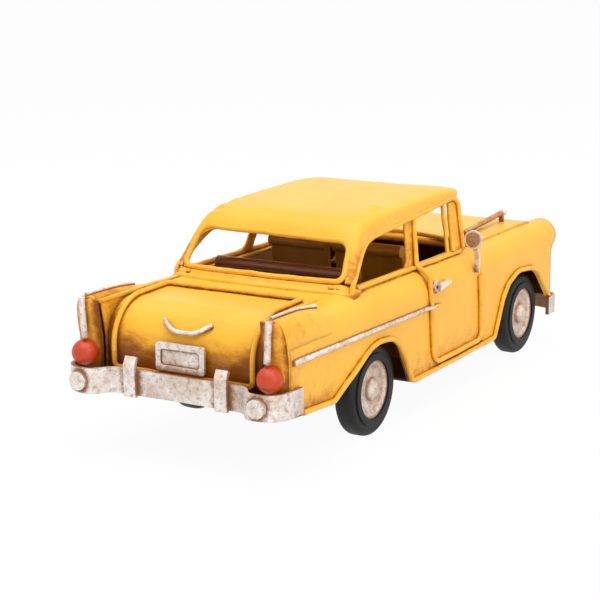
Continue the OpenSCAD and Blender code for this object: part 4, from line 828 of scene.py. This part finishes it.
# Silver paint: almost white where it is thick, with warm brown mottling
silver_paint = silver("silver_paint", "#fbf6f1", "#dfcbbb", "#a0683f", "#8c5a2c")
for name in ("lift_handle", "licence_plate", "rear_bumper", "rear_overriders", "grille"):
    dress(name, silver_paint, grain=0.003, wave=0.00015)
front_bumper = dress("front_bumper", silver_paint, grain=0.003, wave=0.00015,
                     stain_and_shade=lambda x, y, z: 0.0)
# Its back, which faces the body, is left brown
for v, share in zip(front_bumper.data.vertices, front_bumper.data.attributes["patina_and_shade"].data):
    facing = v.normal.x + 0.4 * v.normal.y * v.co.y / abs(v.co.y or 1.0)
    share.value = 0.9 * ramp(facing, 0, -0.3)
# Its ends reach back along the fenders
bumper_end, end_reach = nose_x + 0.4, 3.4
for v in front_bumper.data.vertices:
    if v.co.x < bumper_end * mm:
        v.co.x -= end_reach * mm
# Copper wash: the spears' silver is stained orange-brown, and their tips are left bright
copper_wash = silver("copper_wash", "#dfa973", "#bd7f45", "#8a5a30", "#f1e8df")
spear_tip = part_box("hood_spears")[1][0] * 1000 - 1.8
dress("hood_spears", copper_wash, grain=0.002,
      stain_and_shade=lambda x, y, z: 0.9 * ramp(x, spear_tip - 0.5, spear_tip))
# Disc paint: a dustier, pinker silver on the wheel discs
disc_paint = silver("disc_paint", "#f3e6db", "#dac3b1", "#b08a6c", "#7d5a3a")
# Handle paint: the same silver made paler, with little brown in its corners
handle_paint = silver("handle_paint", "#fbf6f1", "#e6d8cb", "#c9ac94", "#8c5a2c")
for side in sides:
    for name, mat in (("door_handle", handle_paint), ("mirror", silver_paint), ("headlamp", silver_paint),
                      ("rear_disc", disc_paint), ("front_disc", disc_paint)):
        dress(f"{name}_{side}", mat, wave=0.00004)
# A wide strip stands on each fin's rear edge, and a fine line lies along its crest with a point at each millimetre
crest_points = 20
for side, turn in hands:
    crest = [(x, fin_section(crest_u, x)[0] + 0.1, fin_section(crest_u, x)[1] + 0.3)
             for x in (fin_rear + k for k in range(crest_points))]
    upright = [(rear_x - 46.0, 24.6, 28.6), (rear_x - 45.9, 25.2, 38.0)]
    wire_piece(f"fin_strip_wire_{side}", [turn(upright)], f"fin_trim_{side}", silver_paint,
               radius=0.8, wander=0.05)
    wire_piece(f"fin_line_{side}", [turn(crest)], None, silver_paint,
               radius=0.45, wander=0.05)


# Side strips: half-round tin strips with the same silver paint, tapered to a point at the front.
# Each is soldered to the side sheet and pressed over the door wire, where it lifts a little.
strip_rear, strip_front, strip_fall = rear_x - 41.5, rear_x + 33.0, math.tan(math.radians(1.2))
strip_y, strip_z, strip_high, strip_deep, strip_lift = 28.45, 28.0, 0.8, 0.75, 0.55
strip_steps, strip_points = 75, 9
for side, turn in turns:
    verts, faces = [], []
    for i in range(strip_steps + 1):
        x = strip_rear + (strip_front - strip_rear) * i / strip_steps
        high = (strip_high * (1 - 0.25 * i / strip_steps) * min(1.0, (strip_steps + 0.2 - i) / 7)
                * min(1.0, (i + 1.5) / 2))
        lift = strip_lift * math.exp(-((x - door_rear_x - 0.8) / 1.4) ** 2)
        z = strip_z - (x - strip_rear) * strip_fall
        for k in range(strip_points):
            a = math.radians(180 * k / (strip_points - 1))
            y = strip_y + (strip_deep + lift) * math.sin(a) * min(1.0, high / 0.4)
            verts.append((x, turn * y, z + high * math.cos(a)))
    for i in range(strip_steps):
        for k in range(strip_points):
            here, after, n = i * strip_points, (i + 1) * strip_points, (k + 1) % strip_points
            faces.append((here + k, here + n, after + n, after + k)[::turn])
    last = strip_steps * strip_points
    faces += [tuple(range(strip_points))[::-turn], tuple(range(last, last + strip_points))[::turn]]
    mesh = mesh_of(f"side_strip_{side}", verts, [], faces)
    bm = bmesh.new()
    bm.from_mesh(mesh)
    bmesh.ops.recalc_face_normals(bm, faces=bm.faces)
    bm.to_mesh(mesh)
    bm.free()
    mesh.shade_smooth()
    mesh.materials.append(silver_paint)
    strip = placed(f"side_strip_{side}", mesh)
    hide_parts(f"side_trim_{side}")
    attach(strip, "body")


# Mirror faces and keyholes: a tarnished tin disc pressed into each mirror, and a hole punched in each lock plate.
# Both are shallow discs here, the hole a dark one just proud of its plate.
def disc_piece(name, centre, normal, radius, dome, mat):
    """A shallow domed disc, facing the given way."""
    rings, points = 4, 24
    aim = Vector(normal).normalized()
    a = aim.orthogonal().normalized()
    b = aim.cross(a)
    verts, faces = [Vector(centre) + aim * dome], []
    for ring in range(1, rings + 1):
        r = radius * ring / rings
        for k in range(points):
            turn = math.radians(360 / points * k)
            verts.append(Vector(centre) + aim * dome * (1 - (ring / rings) ** 2)
                         + (a * math.cos(turn) + b * math.sin(turn)) * r)
    faces += [(0, 1 + k, 1 + (k + 1) % points) for k in range(points)]
    for ring in range(rings - 1):
        inner, outer = 1 + points * ring, 1 + points * (ring + 1)
        for k in range(points):
            n = (k + 1) % points
            faces.append((inner + k, outer + k, outer + n, inner + n))
    mesh = mesh_of(name, verts, [], faces)
    if mesh.polygons[0].normal.dot(aim) < 0:
        mesh.flip_normals()
    mesh.shade_smooth()
    mesh.materials.append(mat)
    piece = placed(name, mesh)
    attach(piece, "body")


def two_tone(name, light, deep, grain, detail, **gloss):
    """A plain coat that drifts between two tones, with its grain as features per metre."""
    mat, tree, shade, place = new_coat(name)
    drift = add(tree, "ShaderNodeTexNoise", {"Vector": place, "Scale": grain, "Detail": detail})
    tone = add(tree, "ShaderNodeMixRGB", {"Fac": drift.outputs["Fac"], "Color1": tint(light), "Color2": tint(deep)})
    tree.links.new(tone.outputs[0], shade.inputs["Base Color"])
    for key, value in gloss.items():
        shade.inputs[key].default_value = value
    return mat


# Tarnished tin: a dull copper-brown sheen that barely mirrors
tarnish = silver("tarnished_tin", "#c4a68a", "#a07a58", "#7d5530", "#5c3a1c")
# Soot in the hole: matt and nearly black, with grit of about 1 mm
soot = two_tone("soot_in_hole", "#1a130d", "#2c2118", 900, 2, Roughness=0.8)
mirror_r, hole_r = 2.4, 0.42
for side, turn in turns:
    low, high = box_mm(f"mirror_{side}")
    disc_piece(f"mirror_face_{side}", (low[0] + 0.12, (low[1] + high[1]) / 2, high[2] - 2.5), (-1, 0, 0),
               mirror_r, 0.35, tarnish)
    low, high = box_mm(f"door_handle_{side}")
    out_y = high[1] if turn > 0 else low[1]
    disc_piece(f"keyhole_{side}", (low[0] + 1.7, out_y - turn * 0.75, (low[2] + high[2]) / 2), (0, turn, 0),
               hole_r, 0.05, soot)


# Tail lamps: turned domes, soldered into their cups and dipped in coral-red lacquer.
# Red lacquer: thick and even with a soft gloss, drifting in tone over about 3 mm.
red_lacquer = two_tone("red_lacquer", "#cb4319", "#bd3712", 300, 3, Roughness=0.38)
for side in sides:
    dress(f"tail_lamp_{side}", red_lacquer)


# Tyres: moulded black rubber rings, pressed over the wheel discs.
# Moulded rubber: deep black and half matt, with dust in patches of about 4 mm.
tyre_rubber = two_tone("moulded_rubber", "#090908", "#131311", 240, 5,
                       **{"Roughness": 0.55, "Specular IOR Level": 0.35})
ends = ("rear", "front")
for end in ends:
    for side in sides:
        dress(f"{end}_tyre_{side}", tyre_rubber)


# Seats and steering wheel: rolled tin and bent wire, soldered in place and lacquered brown by brush.
# Olive lacquer on the front: a dull yellow-brown. Brown lacquer on the rear seat: darker, redder and glossier.
# Both show brush marks of about 5 mm.
for coat, light, deep, gloss, names in (
        ("olive_lacquer", "#c98a1c", "#96620c", 0.38, ("front_seat_left", "front_seat_right", "steering_wheel")),
        ("brown_lacquer", "#8f4c20", "#663412", 0.28, ("rear_seat",))):
    lacquer = two_tone(coat, light, deep, 200, 5, Roughness=gloss)
    for name in names:
        dress(name, lacquer)


# Floor pan and axles: a bent tin sheet with bearing flanges, and steel rods that turn in them.
# Floor wash: a thin dark brown coat. Drawn steel: grey metal, half bright, with draw marks of about 2 mm.
floor_wash = enamel("floor_wash", "#6e5226", "#4e3718", "#3a2410", "#20140a", 0.7)
dress("floor_pan", floor_wash, grain=0.006)
drawn_steel = two_tone("drawn_steel", "#8b8782", "#a9a49c", 500, 3, Roughness=0.4, Metallic=1.0)
for end in ends:
    dress(f"{end}_axle", drawn_steel)
